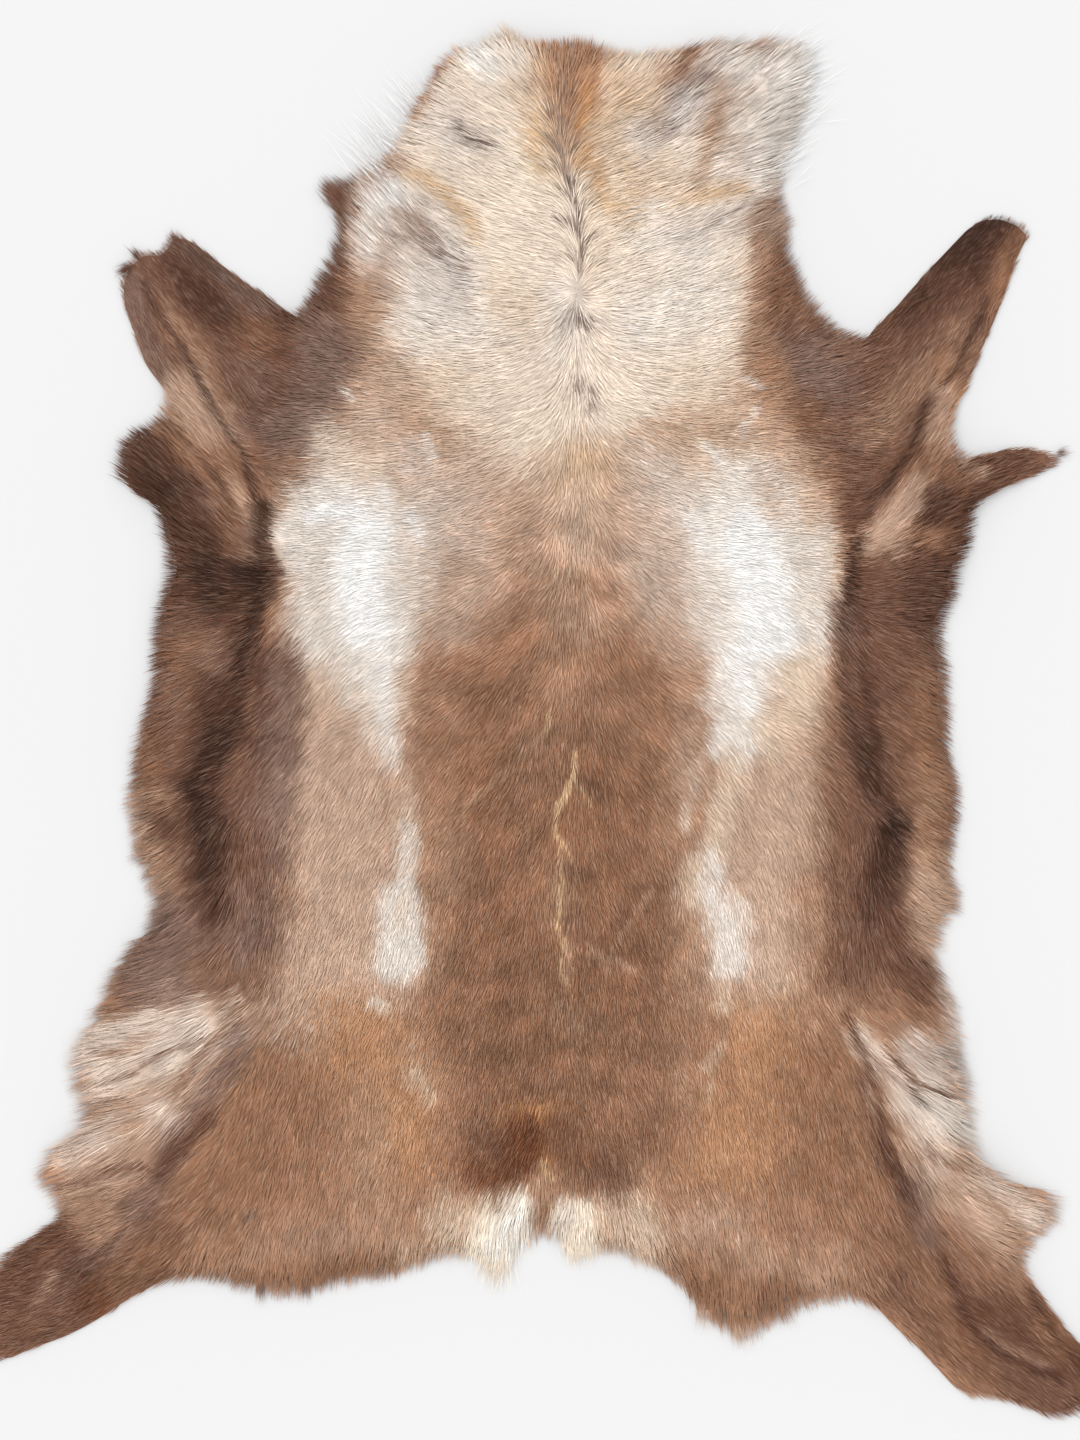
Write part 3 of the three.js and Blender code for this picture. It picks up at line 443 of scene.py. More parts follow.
        ("cream", 0.6, 14, 14, [(324, 430), (336, 440)]),
        ("umber", 0.5, 18, 14, [(852, 616), (850, 664)]),
        ("smokeSheen", 0.5, 18, 14, [(246, 296), (256, 306)]),
        ("oat", 0.6, 14, 14, [(812, 690), (808, 706)]),
        ("tan", 0.6, 14, 12, [(816, 496), (818, 512)]),
        ("nut", 0.85, 16, 14, [(212, 462), (250, 460)]),
        ("ivory", 0.7, 22, 16, [(772, 100), (770, 146)]),
        ("umber", 0.7, 20, 16, [(604, 1172), (618, 1188)]),
        ("bark", 0.6, 18, 16, [(934, 572), (928, 616)]),
        ("bark", 0.85, 16, 13, [(888, 851), (893, 868)]),
        ("pitch", 0.3, 16, 13, [(888, 851), (893, 868)]),
        ("umber", 0.6, 18, 16, [(846, 414), (850, 428)]),
        ("hazel", 0.7, 14, 12, [(1044, 1330), (1056, 1346)]),
        ("tan", 0.5, 20, 18, [(652, 580), (654, 624)]),
        ("ash", 0.5, 16, 14, [(366, 252), (372, 268)]),
        ("bark", 0.6, 20, 16, [(212, 700), (210, 742)]),
        ("tan", 0.6, 14, 14, [(288, 930), (292, 950)]),
        ("wheat", 0.5, 16, 16, [(604, 616), (616, 626)]),
        ("tan", 0.6, 14, 12, [(126, 814), (134, 826)]),
        ("hazel", 0.5, 14, 12, [(848, 334), (854, 346)]),
        ("hazel", 0.5, 18, 16, [(526, 692), (534, 706)]),
        ("umber", 0.6, 16, 14, [(484, 1136), (496, 1146)]),
        ("nut", 0.6, 16, 14, [(246, 334), (254, 346)]),
        ("hazel", 0.5, 16, 14, [(928, 774), (934, 786)]),
        ("sienna", 0.6, 14, 12, [(84, 1296), (96, 1304)]),
        ("bark", 0.5, 14, 12, [(966, 494), (974, 506)]),
        ("nut", 0.5, 14, 12, [(926, 454), (932, 466)]),
        ("hazel", 0.5, 16, 14, [(364, 1254), (378, 1264)]),
        ("bark", 0.5, 14, 12, [(208, 812), (212, 828)]),
        ("wheat", 0.6, 16, 14, [(124, 1134), (136, 1146)]),
        ("wheat", 0.5, 16, 14, [(846, 1012), (854, 1028)]),
        ("oat", 0.5, 18, 16, [(604, 136), (616, 146)]),
        ("tan", 0.5, 14, 14, [(690, 696), (694, 708)]),
        ("ivory", 0.5, 18, 16, [(404, 294), (416, 306)]),
        ("ash", 0.5, 18, 14, [(366, 214), (374, 226)]),
        ("fawn", 0.5, 14, 14, [(526, 852), (534, 866)]),
        ("wheat", 0.5, 14, 12, [(246, 1014), (254, 1026)]),
        ("nut", 0.6, 16, 14, [(166, 656), (174, 704)]),
        ("cocoa", 0.6, 16, 14, [(246, 732), (252, 748)]),
        ("smokeSheen", 0.6, 16, 14, [(166, 972), (174, 988)]),
        ("blush", 0.3, 14, 14, [(164, 980), (176, 990)]),
        ("sienna", 0.5, 14, 14, [(524, 1132), (534, 1146)]),
        ("umber", 0.6, 16, 14, [(1004, 1374), (1018, 1386)]),
        ("smokeSheen", 0.6, 13, 12, [(914, 1186), (924, 1216), (934, 1240)]),
        ("ivory", 0.75, 12, 10, [(784, 46), (798, 80), (796, 120), (784, 156)]),
        ("ivory", 0.7, 17, 12, [(744, 80), (750, 118)]),
        ("ash", 0.6, 8, 8, [(726, 62), (706, 72)]),
        ("hazel", 0.7, 3.5, 4, [(722, 40), (698, 45), (684, 56), (680, 70), (686, 84)]),
        ("snow", 0.6, 10, 9, [(376, 202), (392, 190)]),
        ("ivory", 0.6, 9, 8, [(366, 216), (370, 252)]),
        ("rust", 0.95, 9, 7, [(458, 44), (440, 64), (428, 86), (418, 110)]),
        ("snow", 0.8, 15, 8, [(812, 48), (820, 100), (810, 150), (798, 184)]),
        ("hazel", 0.5, 20, 18, [(568, 572), (572, 592)]),
        ("smokeSheen", 0.5, 12, 12, [(246, 530), (252, 548)]),
        ("nut", 0.5, 14, 12, [(768, 1294), (776, 1306)]),
        ("wheat", 0.4, 9, 8, [(556, 52), (550, 80)]),
        ("pitch", 0.4, 20, 14, [(994, 222), (972, 246)]),
        ("bark", 0.4, 16, 14, [(938, 282), (908, 314)]),
        ("ivory", 0.6, 7, 6, [(699, 880), (706, 904)]),
        ("ivory", 0.5, 7, 6, [(744, 908), (752, 930)]),
        ("oat", 0.45, 24, 20, [(572, 498), (576, 548)]),
        ("hazel", 0.6, 16, 14, [(768, 366), (776, 396)]),
        ("hazel", 0.5, 20, 18, [(568, 862), (572, 940)]),
        ("nut", 0.45, 20, 18, [(566, 852), (574, 872)]),
        ("umber", 0.45, 18, 16, [(568, 930), (576, 950)]),
        ("tan", 0.35, 16, 14, [(286, 896), (292, 908)]),
        ("umber", 0.5, 16, 14, [(248, 456), (254, 470)]),
        ("wheat", 0.35, 14, 14, [(288, 690), (294, 712)]),
        ("cocoa", 0.45, 18, 16, [(886, 932), (896, 952)]),
        ("nut", 0.45, 16, 14, [(808, 414), (816, 426)]),
        ("hazel", 0.4, 16, 14, [(766, 376), (774, 390)]),
        ("hazel", 0.35, 18, 16, [(444, 1176), (456, 1188)]),
        ("ivory", 0.35, 16, 14, [(644, 136), (656, 146)]),
        ("rose", 0.5, 14, 12, [(926, 1096), (936, 1108)]),
        ("haze", 0.3, 16, 14, [(930, 896), (934, 908)]),
        ("umber", 0.35, 18, 16, [(166, 1216), (174, 1226)]),
        ("umber", 0.3, 18, 16, [(930, 460), (970, 462)]),
        ("ash", 0.4, 16, 14, [(406, 456), (414, 464)]),
        ("smokeSheen", 0.4, 16, 14, [(206, 496), (214, 504)]),
        ("hazel", 0.35, 18, 16, [(806, 934), (814, 946)]),
        ("fawn", 0.3, 18, 16, [(366, 296), (374, 304)]),
        ("bark", 0.3, 18, 16, [(166, 816), (174, 824)]),
        ("smokeSheen", 0.4, 16, 14, [(246, 896), (252, 908)]),
        ("smokeSheen", 0.4, 16, 14, [(246, 376), (254, 386)]),
        ("fawn", 0.4, 16, 14, [(806, 296), (814, 304)]),
        ("nut", 0.35, 20, 18, [(484, 1096), (496, 1106)]),
        ("pearl", 0.35, 16, 14, [(726, 216), (734, 226)]),
        ("fawn", 0.35, 18, 16, [(486, 616), (494, 624)]),
        ("haze", 0.4, 16, 14, [(366, 416), (374, 424)]),
        ("hazel", 0.35, 18, 16, [(846, 1256), (854, 1266)]),
        ("oat", 0.5, 18, 16, [(686, 376), (694, 384)]),
        ("haze", 0.35, 16, 14, [(686, 656), (694, 664)]),
        ("fawn", 0.4, 18, 16, [(766, 1296), (774, 1304)]),
        ("umber", 0.3, 18, 16, [(884, 936), (894, 944)]),
        ("umber", 0.35, 18, 16, [(884, 1216), (894, 1224)]),
        ("wheat", 0.35, 20, 18, [(366, 1096), (374, 1106)]),
        ("sienna", 0.5, 12, 10, [(474, 1178), (500, 1174), (526, 1160)]),
        ("wheat", 0.5, 20, 18, [(770, 372), (772, 388)]),
        ("wheat", 0.4, 22, 20, [(560, 640), (560, 680)]),
        ("wheat", 0.4, 16, 16, [(560, 880), (560, 920)]),
        ("tan", 0.4, 20, 18, [(576, 510), (578, 536)]),
        ("pearl", 0.5, 14, 12, [(938, 1110), (948, 1128)]),
        ("oat", 0.35, 12, 12, [(402, 902), (402, 920)]),
        ("wheat", 0.4, 16, 14, [(962, 334), (974, 346)]),
        ("smokeSheen", 0.4, 18, 16, [(846, 334), (854, 346)]),
        ("fawn", 0.4, 16, 14, [(286, 896), (292, 908)]),
        ("fawn", 0.4, 14, 12, [(286, 456), (294, 466)]),
        ("wheat", 0.4, 16, 14, [(930, 896), (934, 908)]),
        ("smokeSheen", 0.5, 14, 12, [(286, 690), (292, 710)]),
        ("cocoa", 0.5, 16, 14, [(974, 1322), (988, 1340)]),
        ("cocoa", 0.35, 16, 14, [(50, 1286), (68, 1294)]),
        ("nut", 0.4, 16, 14, [(906, 732), (914, 750)]),
        ("fawn", 0.4, 20, 18, [(776, 1236), (788, 1246)]),
        ("ivory", 0.8, 14, 10, [(286, 530), (290, 556)]),
        ("ivory", 0.5, 14, 12, [(694, 96), (684, 110)]),
        ("haze", 0.5, 14, 12, [(404, 214), (414, 264)]),
        ("ivory", 0.5, 12, 10, [(450, 250), (446, 274)]),
        ("tan", 0.6, 24, 22, [(528, 530), (536, 552)]),
        ("wheat", 0.4, 14, 12, [(566, 50), (568, 104)]),
        ("fawn", 0.7, 16, 16, [(770, 376), (772, 392)]),
        ("umber", 0.4, 16, 14, [(806, 416), (814, 428)]),
        ("fawn", 0.4, 18, 16, [(444, 1172), (456, 1186)]),
        ("pearl", 0.6, 15, 12, [(924, 1094), (940, 1106)]),
        ("haze", 0.5, 12, 11, [(886, 1094), (892, 1108)]),
        ("wheat", 0.4, 16, 14, [(562, 1012), (576, 1026)]),
        ("smokeSheen", 0.4, 14, 12, [(848, 612), (850, 634)]),
        ("fawn", 0.5, 16, 14, [(806, 892), (812, 908)]),
        ("bark", 0.4, 14, 12, [(886, 856), (892, 906)]),
        ("tan", 0.5, 14, 12, [(768, 490), (772, 510)]),
        ("oat", 0.4, 16, 14, [(766, 974), (774, 986)]),
        ("nut", 0.5, 16, 14, [(646, 1134), (654, 1148)]),
        ("oat", 0.45, 16, 14, [(646, 1214), (656, 1226)]),
        ("smokeSheen", 0.35, 16, 14, [(166, 692), (172, 708)]),
        ("ivory", 0.6, 9, 8, [(393, 728), (392, 770)]),
        ("ivory", 0.6, 8, 7, [(716, 672), (714, 716), (718, 756)]),
        ("ivory", 0.5, 7, 7, [(746, 740), (740, 772)]),
        ("pearl", 0.5, 10, 9, [(352, 660), (350, 700)]),
        ("pearl", 0.5, 10, 9, [(366, 712), (366, 740)]),
        ("fawn", 0.6, 26, 24, [(528, 728), (534, 790)]),
        ("fawn", 0.5, 20, 18, [(646, 852), (654, 868)]),
        ("wheat", 0.4, 20, 18, [(446, 692), (452, 712)]),
        ("wheat", 0.4, 18, 16, [(448, 850), (452, 872)]),
        ("tan", 0.6, 26, 24, [(600, 524), (620, 560)]),
        ("tan", 0.5, 24, 22, [(560, 600), (590, 620)]),
        ("haze", 0.6, 22, 20, [(648, 560), (652, 600)]),
        ("pearl", 0.6, 12, 12, [(288, 520), (290, 556)]),
        ("oat", 0.5, 12, 12, [(684, 890), (690, 910)]),
        ("oat", 0.45, 14, 12, [(566, 132), (570, 150)]),
        ("wheat", 0.5, 20, 18, [(366, 1172), (372, 1226)]),
        ("oat", 0.4, 16, 14, [(404, 1256), (416, 1264)]),
        ("ivory", 0.45, 16, 14, [(566, 288), (574, 306)]),
        ("bark", 0.4, 16, 14, [(924, 294), (936, 306)]),
        # painted shadow under the left flap, and painted shade along the fold below it
        ("pitch", 0.4, 18, 14, [(206, 572), (214, 592)]),
        ("pitch", 0.35, 18, 14, [(210, 736), (206, 790), (212, 862)]),
        ("wheat", 0.5, 20, 18, [(646, 1174), (658, 1186)]),
        ("fawn", 0.5, 18, 16, [(722, 1256), (738, 1264)]),
        ("fawn", 0.4, 18, 16, [(802, 1254), (818, 1264)]),
        ("hazel", 0.4, 16, 14, [(806, 414), (816, 426)]),
        ("wheat", 0.5, 18, 16, [(770, 408), (774, 428)]),
        ("wheat", 0.4, 16, 14, [(806, 890), (812, 910)]),
        ("wheat", 0.4, 14, 14, [(930, 776), (930, 826)]),
        ("pearl", 0.4, 20, 18, [(644, 454), (656, 468)]),
        ("tan", 0.45, 16, 14, [(770, 890), (772, 910)]),
        ("ivory", 0.6, 9, 8, [(730, 684), (730, 716)]),
        ("oat", 0.5, 18, 16, [(444, 374), (456, 386)]),
        ("ivory", 0.4, 16, 14, [(444, 134), (456, 146)]),
        ("wheat", 0.4, 16, 14, [(806, 1012), (814, 1028)]),
        ("cream", 0.5, 16, 14, [(604, 174), (616, 186)]),
        # creases: painted shade in them, and the dark hair along them
        ("bark", 0.6, 3, 3, [(142, 284), (152, 304), (166, 324), (182, 346)]),
        ("pitch", 0.55, 2.5, 4, [(182, 346), (190, 366), (198, 384), (206, 398)]),
        ("pitch", 0.6, 2.5, 4.5, [(206, 396), (214, 412), (228, 434), (242, 452), (247, 474), (252, 494)]),
        ("bark", 0.6, 5, 5, [(252, 480), (262, 510)]),
        ("bark", 0.6, 3, 4, [(158, 420), (176, 430), (196, 450), (218, 482), (232, 506)]),
        ("bark", 0.65, 3, 4, [(988, 296), (972, 336), (962, 364), (944, 386)]),
        ("cocoa", 0.5, 10, 9, [(922, 408), (904, 446), (882, 484), (860, 520)]),
        ("pitch", 0.5, 4, 6, [(928, 402), (916, 430), (908, 450), (890, 478)]),
        ("pitch", 0.35, 4, 7, [(890, 478), (872, 500), (858, 528), (853, 546), (854, 580)]),
        ("pitch", 0.35, 7, 7, [(856, 572), (849, 606), (844, 640), (844, 680), (850, 712), (860, 748),
            (875, 790)]),
        ("pitch", 0.45, 7, 7, [(259, 508), (262, 540), (255, 584), (245, 626), (240, 668)]),
        ("umber", 0.75, 2, 3, [(206, 1036), (184, 1046), (150, 1060), (126, 1074), (98, 1080)]),
        ("hazel", 0.6, 3, 4, [(150, 1036), (124, 1050), (92, 1056)]),
        ("hazel", 0.55, 3, 4, [(232, 1012), (206, 1044), (186, 1070), (170, 1096)]),
        ("umber", 0.5, 4, 4, [(238, 1022), (200, 1054), (184, 1086)]),
        ("cocoa", 0.75, 2, 3, [(90, 1104), (108, 1101), (122, 1106)]),
        ("hazel", 0.7, 4, 5, [(112, 1102), (130, 1112), (134, 1124)]),
        ("cocoa", 0.75, 2.5, 3.5, [(56, 1188), (84, 1182), (104, 1171), (130, 1170), (152, 1176)]),
        ("cocoa", 0.7, 8, 8, [(206, 1122), (178, 1144), (160, 1172)]),
        ("cocoa", 0.75, 4, 5, [(848, 1014), (860, 1046), (876, 1084), (886, 1130), (898, 1170)]),
        ("umber", 0.6, 2, 3, [(856, 1044), (878, 1061), (895, 1078), (907, 1088)]),
        ("hazel", 0.6, 5, 6, [(878, 1096), (894, 1120), (906, 1144), (918, 1160)]),
        ("umber", 0.6, 5, 6, [(930, 1152), (946, 1166), (962, 1170)]),
        ("hazel", 0.5, 3, 4, [(980, 1190), (1004, 1216), (1020, 1236)]),
        ("cocoa", 0.85, 3, 3.5, [(897, 1062), (912, 1078), (930, 1089), (955, 1096)]),
        ("bark", 0.7, 8, 9, [(884, 1140), (896, 1172), (908, 1206)]),
        ("cocoa", 0.7, 9, 9, [(948, 1262), (962, 1306), (984, 1336), (1014, 1358), (1056, 1380)]),
        ("bark", 0.7, 3, 4, [(948, 1262), (957, 1300), (975, 1330), (1000, 1352), (1040, 1372),
            (1062, 1384)]),
        ("blush", 0.4, 4, 5, [(986, 1330), (1010, 1350), (1046, 1366)]),
        ("bark", 0.6, 4, 5, [(1030, 1290), (1046, 1322), (1060, 1346)]),
        ("bark", 0.6, 3, 4, [(120, 1232), (92, 1262), (84, 1284)]),
        ("umber", 0.6, 3, 4, [(60, 1258), (40, 1284), (30, 1306)]),
        ("blush", 0.35, 5, 5, [(52, 1276), (34, 1300)]),
        ("pitch", 0.5, 4, 5, [(924, 1104), (912, 1090)]),
        # old scars and small marks
        ("gold", 0.8, 2.5, 2.5, [(548, 712), (550, 727), (544, 735)]),
        ("wheat", 0.55, 3, 3.5, [(542, 738), (512, 765), (478, 796), (464, 812)]),
        ("gold", 0.9, 2.2, 2, [(575, 752), (573, 771), (571, 785)]),
        ("gold", 0.9, 3.8, 2.5, [(571, 780), (566, 794), (558, 806)]),
        ("gold", 0.7, 2, 2, [(558, 806), (553, 831), (560, 844), (560, 864), (563, 888)]),
        ("gold", 0.7, 1.8, 2, [(577, 786), (584, 798), (591, 807)]),
        ("gold", 0.6, 1.8, 2, [(561, 840), (566, 850), (570, 862)]),
        ("gold", 0.8, 2.8, 3, [(558, 888), (562, 900), (558, 930), (564, 950), (560, 972), (566, 984)]),
        ("wheat", 0.6, 5, 4, [(566, 944), (566, 976)]),
        ("wheat", 0.75, 4, 3, [(588, 952), (604, 960), (618, 960), (634, 970)]),
        ("wheat", 0.6, 2.5, 3, [(614, 948), (606, 978)]),
        ("wheat", 0.5, 2.5, 3, [(590, 954), (586, 972)]),
        ("wheat", 0.6, 2.5, 3, [(616, 946), (632, 920), (652, 892)]),
        ("ivory", 0.8, 3.5, 3, [(424, 436), (432, 460)]),
        ("ivory", 0.8, 3, 3, [(346, 392), (352, 402)]),
        ("ivory", 0.85, 5, 4, [(702, 446), (738, 474)]),
        ("ivory", 0.6, 4, 4, [(758, 412), (740, 436)]),
        ("ivory", 0.85, 3.5, 3, [(744, 380), (760, 388)]),
        ("ivory", 0.7, 7, 5, [(370, 1004), (382, 1008)]),
        ("oat", 0.5, 8, 8, [(416, 1074), (424, 1102)]),
        ("wheat", 0.4, 10, 10, [(372, 1120), (384, 1150)]),
        ("oat", 0.55, 7, 6, [(728, 996), (724, 1014)]),
        ("oat", 0.5, 6, 6, [(718, 1050), (712, 1066)]),
        ("oat", 0.45, 5, 5, [(716, 1086), (714, 1102)]),
        ("wheat", 0.4, 12, 12, [(680, 1062), (690, 1100)]),
        ("gold", 0.7, 4, 4, [(542, 1164), (548, 1176)]),
        ("slateSheen", 0.6, 3, 3, [(244, 1218), (254, 1216), (258, 1222)]),
    ],
}


def shadeOf(name):
    return np.array(coat["shades"][name]) / 255.0


def coatColour(x, y, chance, mingling):  # the colour over each place, as it looks in plain light
    wx = waved(x, x, y, coat["wanderAcross"])
    wy = waved(y, x, y, coat["wanderDown"])
    colour = np.tile(shadeOf(coat["base"]), (len(x), 1))
    pick = chance.uniform(0.0, 1.0, len(x))
    for shade, share, halfWidth, soft, route in coat["marks"]:
        pick = (pick + coat["pickStep"]) % 1.0
        lowX, highX = min(p[0] for p in route), max(p[0] for p in route)
        lowY, highY = min(p[1] for p in route), max(p[1] for p in route)
        reach = halfWidth + soft
        across = (wx > lowX - reach) & (wx < highX + reach)
        near = across & (wy > lowY - reach) & (wy < highY + reach)
        if not near.any():
            continue
        warp = coat["fineWander"] if halfWidth < coat["fineWidth"] else 1.0
        away = lineDistance(x[near] + warp * (wx - x)[near], y[near] + warp * (wy - y)[near], route)
        cover = share * (1.0 - easeInOut((away - halfWidth + soft) / (2.0 * soft)))
        # where two shades meet, some hairs take one and some the other
        picked = np.clip((cover - pick[near]) * coat["crisp"] + 0.5, 0.0, 1.0)
        mixed = np.where(cover > 0.0, picked, 0.0)
        own = coat["minglingDark"] if shade == "slateSheen" and mingling > 0.0 else mingling
        cover = cover + own * (mixed - cover)
        colour[near] += cover[:, None] * (shadeOf(shade) - colour[near])
    pale = easeInOut((colour[:, 1] - coat["paleFrom"]) / coat["paleOver"])
    light = 1.0 + coat["tufts"] * (1.0 - coat["paleCalm"] * pale) * waved(0.0, x, y, coat["tuftWaves"])
    aside = lineDistance(wx, wy, coat["spine"])
    saddle = 1.0 - easeInOut((aside - coat["spineHalf"]) / coat["spineFade"])
    leanX, leanY = coat["brindleLean"]
    streaks = roundNoise(leanX * x + leanY * y, y, coat["brindleSize"], coat["brindleSeed"])
    light += coat["brindle"] * saddle * streaks
    return colour * light[:, None]


# how the hair lies: each stroke runs the way the tips point
comb = {
    "reach": 16.0, "step": 12.0, "smoothing": 3,
    "strokes": [
        # neck, out from the mane and forwards
        [(556, 70), (548, 20)],
        [(556, 100), (526, 60), (504, 24)],
        [(552, 104), (500, 66), (466, 34)],
        [(550, 136), (490, 108), (425, 72)],
        [(552, 172), (490, 152), (400, 118)],
        [(562, 212), (500, 198), (400, 160), (372, 140)],
        [(568, 254), (500, 242), (440, 218)],
        [(470, 268), (420, 226), (384, 180), (366, 150)],
        [(446, 290), (390, 244), (340, 186), (318, 160)],
        [(566, 300), (520, 290), (430, 280), (380, 262)],
        [(562, 336), (480, 336), (400, 322), (360, 316)],
        [(566, 92), (576, 54), (584, 20)],
        [(574, 100), (604, 66), (628, 30)],
        [(572, 116), (620, 84), (664, 40)],
        [(574, 140), (650, 104), (720, 50), (760, 28)],
        [(580, 172), (660, 144), (740, 96), (812, 44)],
        [(588, 208), (670, 188), (740, 160), (800, 124)],
        [(592, 252), (680, 228), (740, 200), (790, 176)],
        [(588, 300), (630, 284), (700, 262), (790, 218)],
        [(588, 336), (680, 324), (750, 300), (800, 268)],
        # where the two sides of the neck meet, lower down
        [(578, 380), (580, 440)],
        [(572, 316), (562, 350), (552, 390)],
        [(582, 316), (594, 350), (606, 390)],
        [(564, 330), (530, 346), (490, 356)],
        [(590, 330), (624, 346), (664, 354)],
        # withers and shoulders
        [(568, 350), (540, 364), (470, 376), (390, 368)],
        [(586, 350), (614, 364), (680, 376), (760, 356)],
        [(574, 372), (556, 394), (510, 414)],
        [(582, 372), (600, 394), (646, 414)],
        [(556, 390), (480, 418), (400, 416)],
        [(604, 390), (680, 418), (760, 410)],
        [(380, 330), (330, 300), (296, 270)],
        [(350, 270), (322, 226), (310, 200)],
        [(380, 380), (320, 366), (260, 352), (220, 330)],
        [(370, 430), (300, 440), (258, 448)],
        [(770, 330), (810, 296), (834, 270)],
        [(760, 280), (790, 240), (806, 216)],
        [(770, 380), (830, 368), (890, 348)],
        [(770, 440), (840, 450), (880, 452)],
        # forelegs
        [(270, 340), (220, 300), (176, 256), (150, 236)],
        [(250, 400), (200, 340), (160, 290), (126, 256)],
        [(180, 400), (150, 350), (124, 290)],
        [(262, 500), (224, 456), (186, 410), (150, 376)],
        [(880, 344), (930, 290), (990, 226), (1010, 200)],
        [(900, 400), (950, 340), (1000, 270), (1036, 220)],
        [(930, 420), (970, 370), (1000, 300)],
        [(880, 520), (916, 470), (950, 420)],
        # flaps
        [(256, 540), (204, 492), (150, 444), (112, 424)],
        [(240, 570), (190, 540), (140, 500), (108, 480)],
        [(230, 590), (186, 590), (140, 596)],
        [(930, 500), (980, 470), (1040, 452), (1080, 450)],
        [(880, 560), (920, 540), (980, 516)],
        [(880, 600), (930, 596), (980, 600)],
        # saddle
        [(574, 400), (577, 500), (572, 650), (566, 850), (560, 1050), (545, 1180)],
        [(560, 430), (490, 470), (400, 490), (300, 488)],
        [(596, 430), (660, 470), (750, 490), (850, 490)],
        [(556, 500), (490, 535), (400, 552), (280, 556)],
        [(598, 500), (670, 535), (760, 552), (860, 560)],
        [(552, 580), (490, 640), (410, 690), (330, 730)],
        [(598, 580), (660, 640), (740, 690), (850, 740)],
        [(350, 580), (300, 610), (256, 660)],
        [(780, 580), (830, 610), (868, 660)],
        [(340, 680), (300, 740), (260, 800)],
        [(790, 680), (840, 740), (880, 790)],
        [(548, 660), (500, 740), (450, 810), (410, 880)],
        [(590, 660), (640, 740), (700, 810), (740, 880)],
        [(548, 800), (510, 900), (480, 1000)],
        [(582, 800), (620, 900), (650, 1000)],
        [(400, 740), (350, 830), (310, 920), (290, 990)],
        [(740, 740), (790, 830), (826, 920), (840, 990)],
        [(420, 900), (404, 980), (380, 1060)],
        [(710, 900), (730, 980), (750, 1060)],
        [(250, 840), (246, 900), (240, 980)],
        [(870, 840), (868, 900), (870, 980)],
        # flanks
        [(250, 620), (200, 640), (140, 650)],
        [(236, 680), (190, 710), (130, 740)],
        [(222, 760), (170, 790), (120, 806)],
        [(206, 800), (176, 836), (130, 860)],
        [(220, 860), (170, 900), (130, 920)],
        [(236, 920), (170, 960), (100, 990)],
        [(238, 980), (170, 1000), (80, 1024)],
        [(870, 640), (920, 664), (970, 690)],
        [(874, 720), (920, 750), (970, 780)],
        [(884, 800), (930, 836), (980, 860)],
        [(880, 870), (920, 900), (970, 912)],
        [(880, 930), (920, 970), (960, 1010)],
        [(872, 990), (910, 1030), (966, 1060)],
        # loin and rump
        [(540, 1060), (528, 1120), (500, 1180)],
        [(580, 1060), (600, 1120), (620, 1190)],
        [(440, 1060), (420, 1140), (400, 1220), (392, 1300)],
        [(690, 1060), (704, 1140), (724, 1220), (740, 1340)],
        [(340, 1060), (320, 1140), (300, 1220), (286, 1300)],
        [(790, 1060), (806, 1140), (826, 1220), (850, 1310)],
        [(270, 1060), (250, 1130), (224, 1200), (190, 1290)],
        [(846, 1060), (866, 1130), (884, 1200), (920, 1290)],
        [(470, 1190), (456, 1240), (444, 1290)],
        [(640, 1200), (660, 1250), (680, 1300)],
        # tail
        [(520, 1180), (498, 1220), (496, 1290)],
        [(543, 1190), (543, 1240)],
        [(566, 1190), (556, 1226), (568, 1270)],
        [(590, 1200), (600, 1236), (606, 1270)],
        # thighs and hind legs
        [(236, 1004), (180, 1030), (70, 1050)],
        [(232, 1020), (170, 1064), (70, 1096)],
        [(220, 1050), (160, 1100), (60, 1140)],
        [(216, 1090), (150, 1150), (40, 1190)],
        [(210, 1130), (150, 1190), (60, 1220), (20, 1230)],
        [(230, 1170), (150, 1250), (60, 1300), (-40, 1330)],
        [(180, 1270), (110, 1320), (20, 1350)],
        [(856, 1030), (900, 1066), (980, 1096)],
        [(866, 1050), (920, 1110), (990, 1160)],
        [(884, 1090), (950, 1170), (1050, 1200)],
        [(900, 1140), (960, 1210), (1056, 1246)],
        [(884, 1190), (930, 1270), (1010, 1340), (1110, 1400)],
        [(980, 1250), (1040, 1310), (1100, 1370)],
        [(880, 1290), (940, 1350), (1000, 1400)],
    ],
}

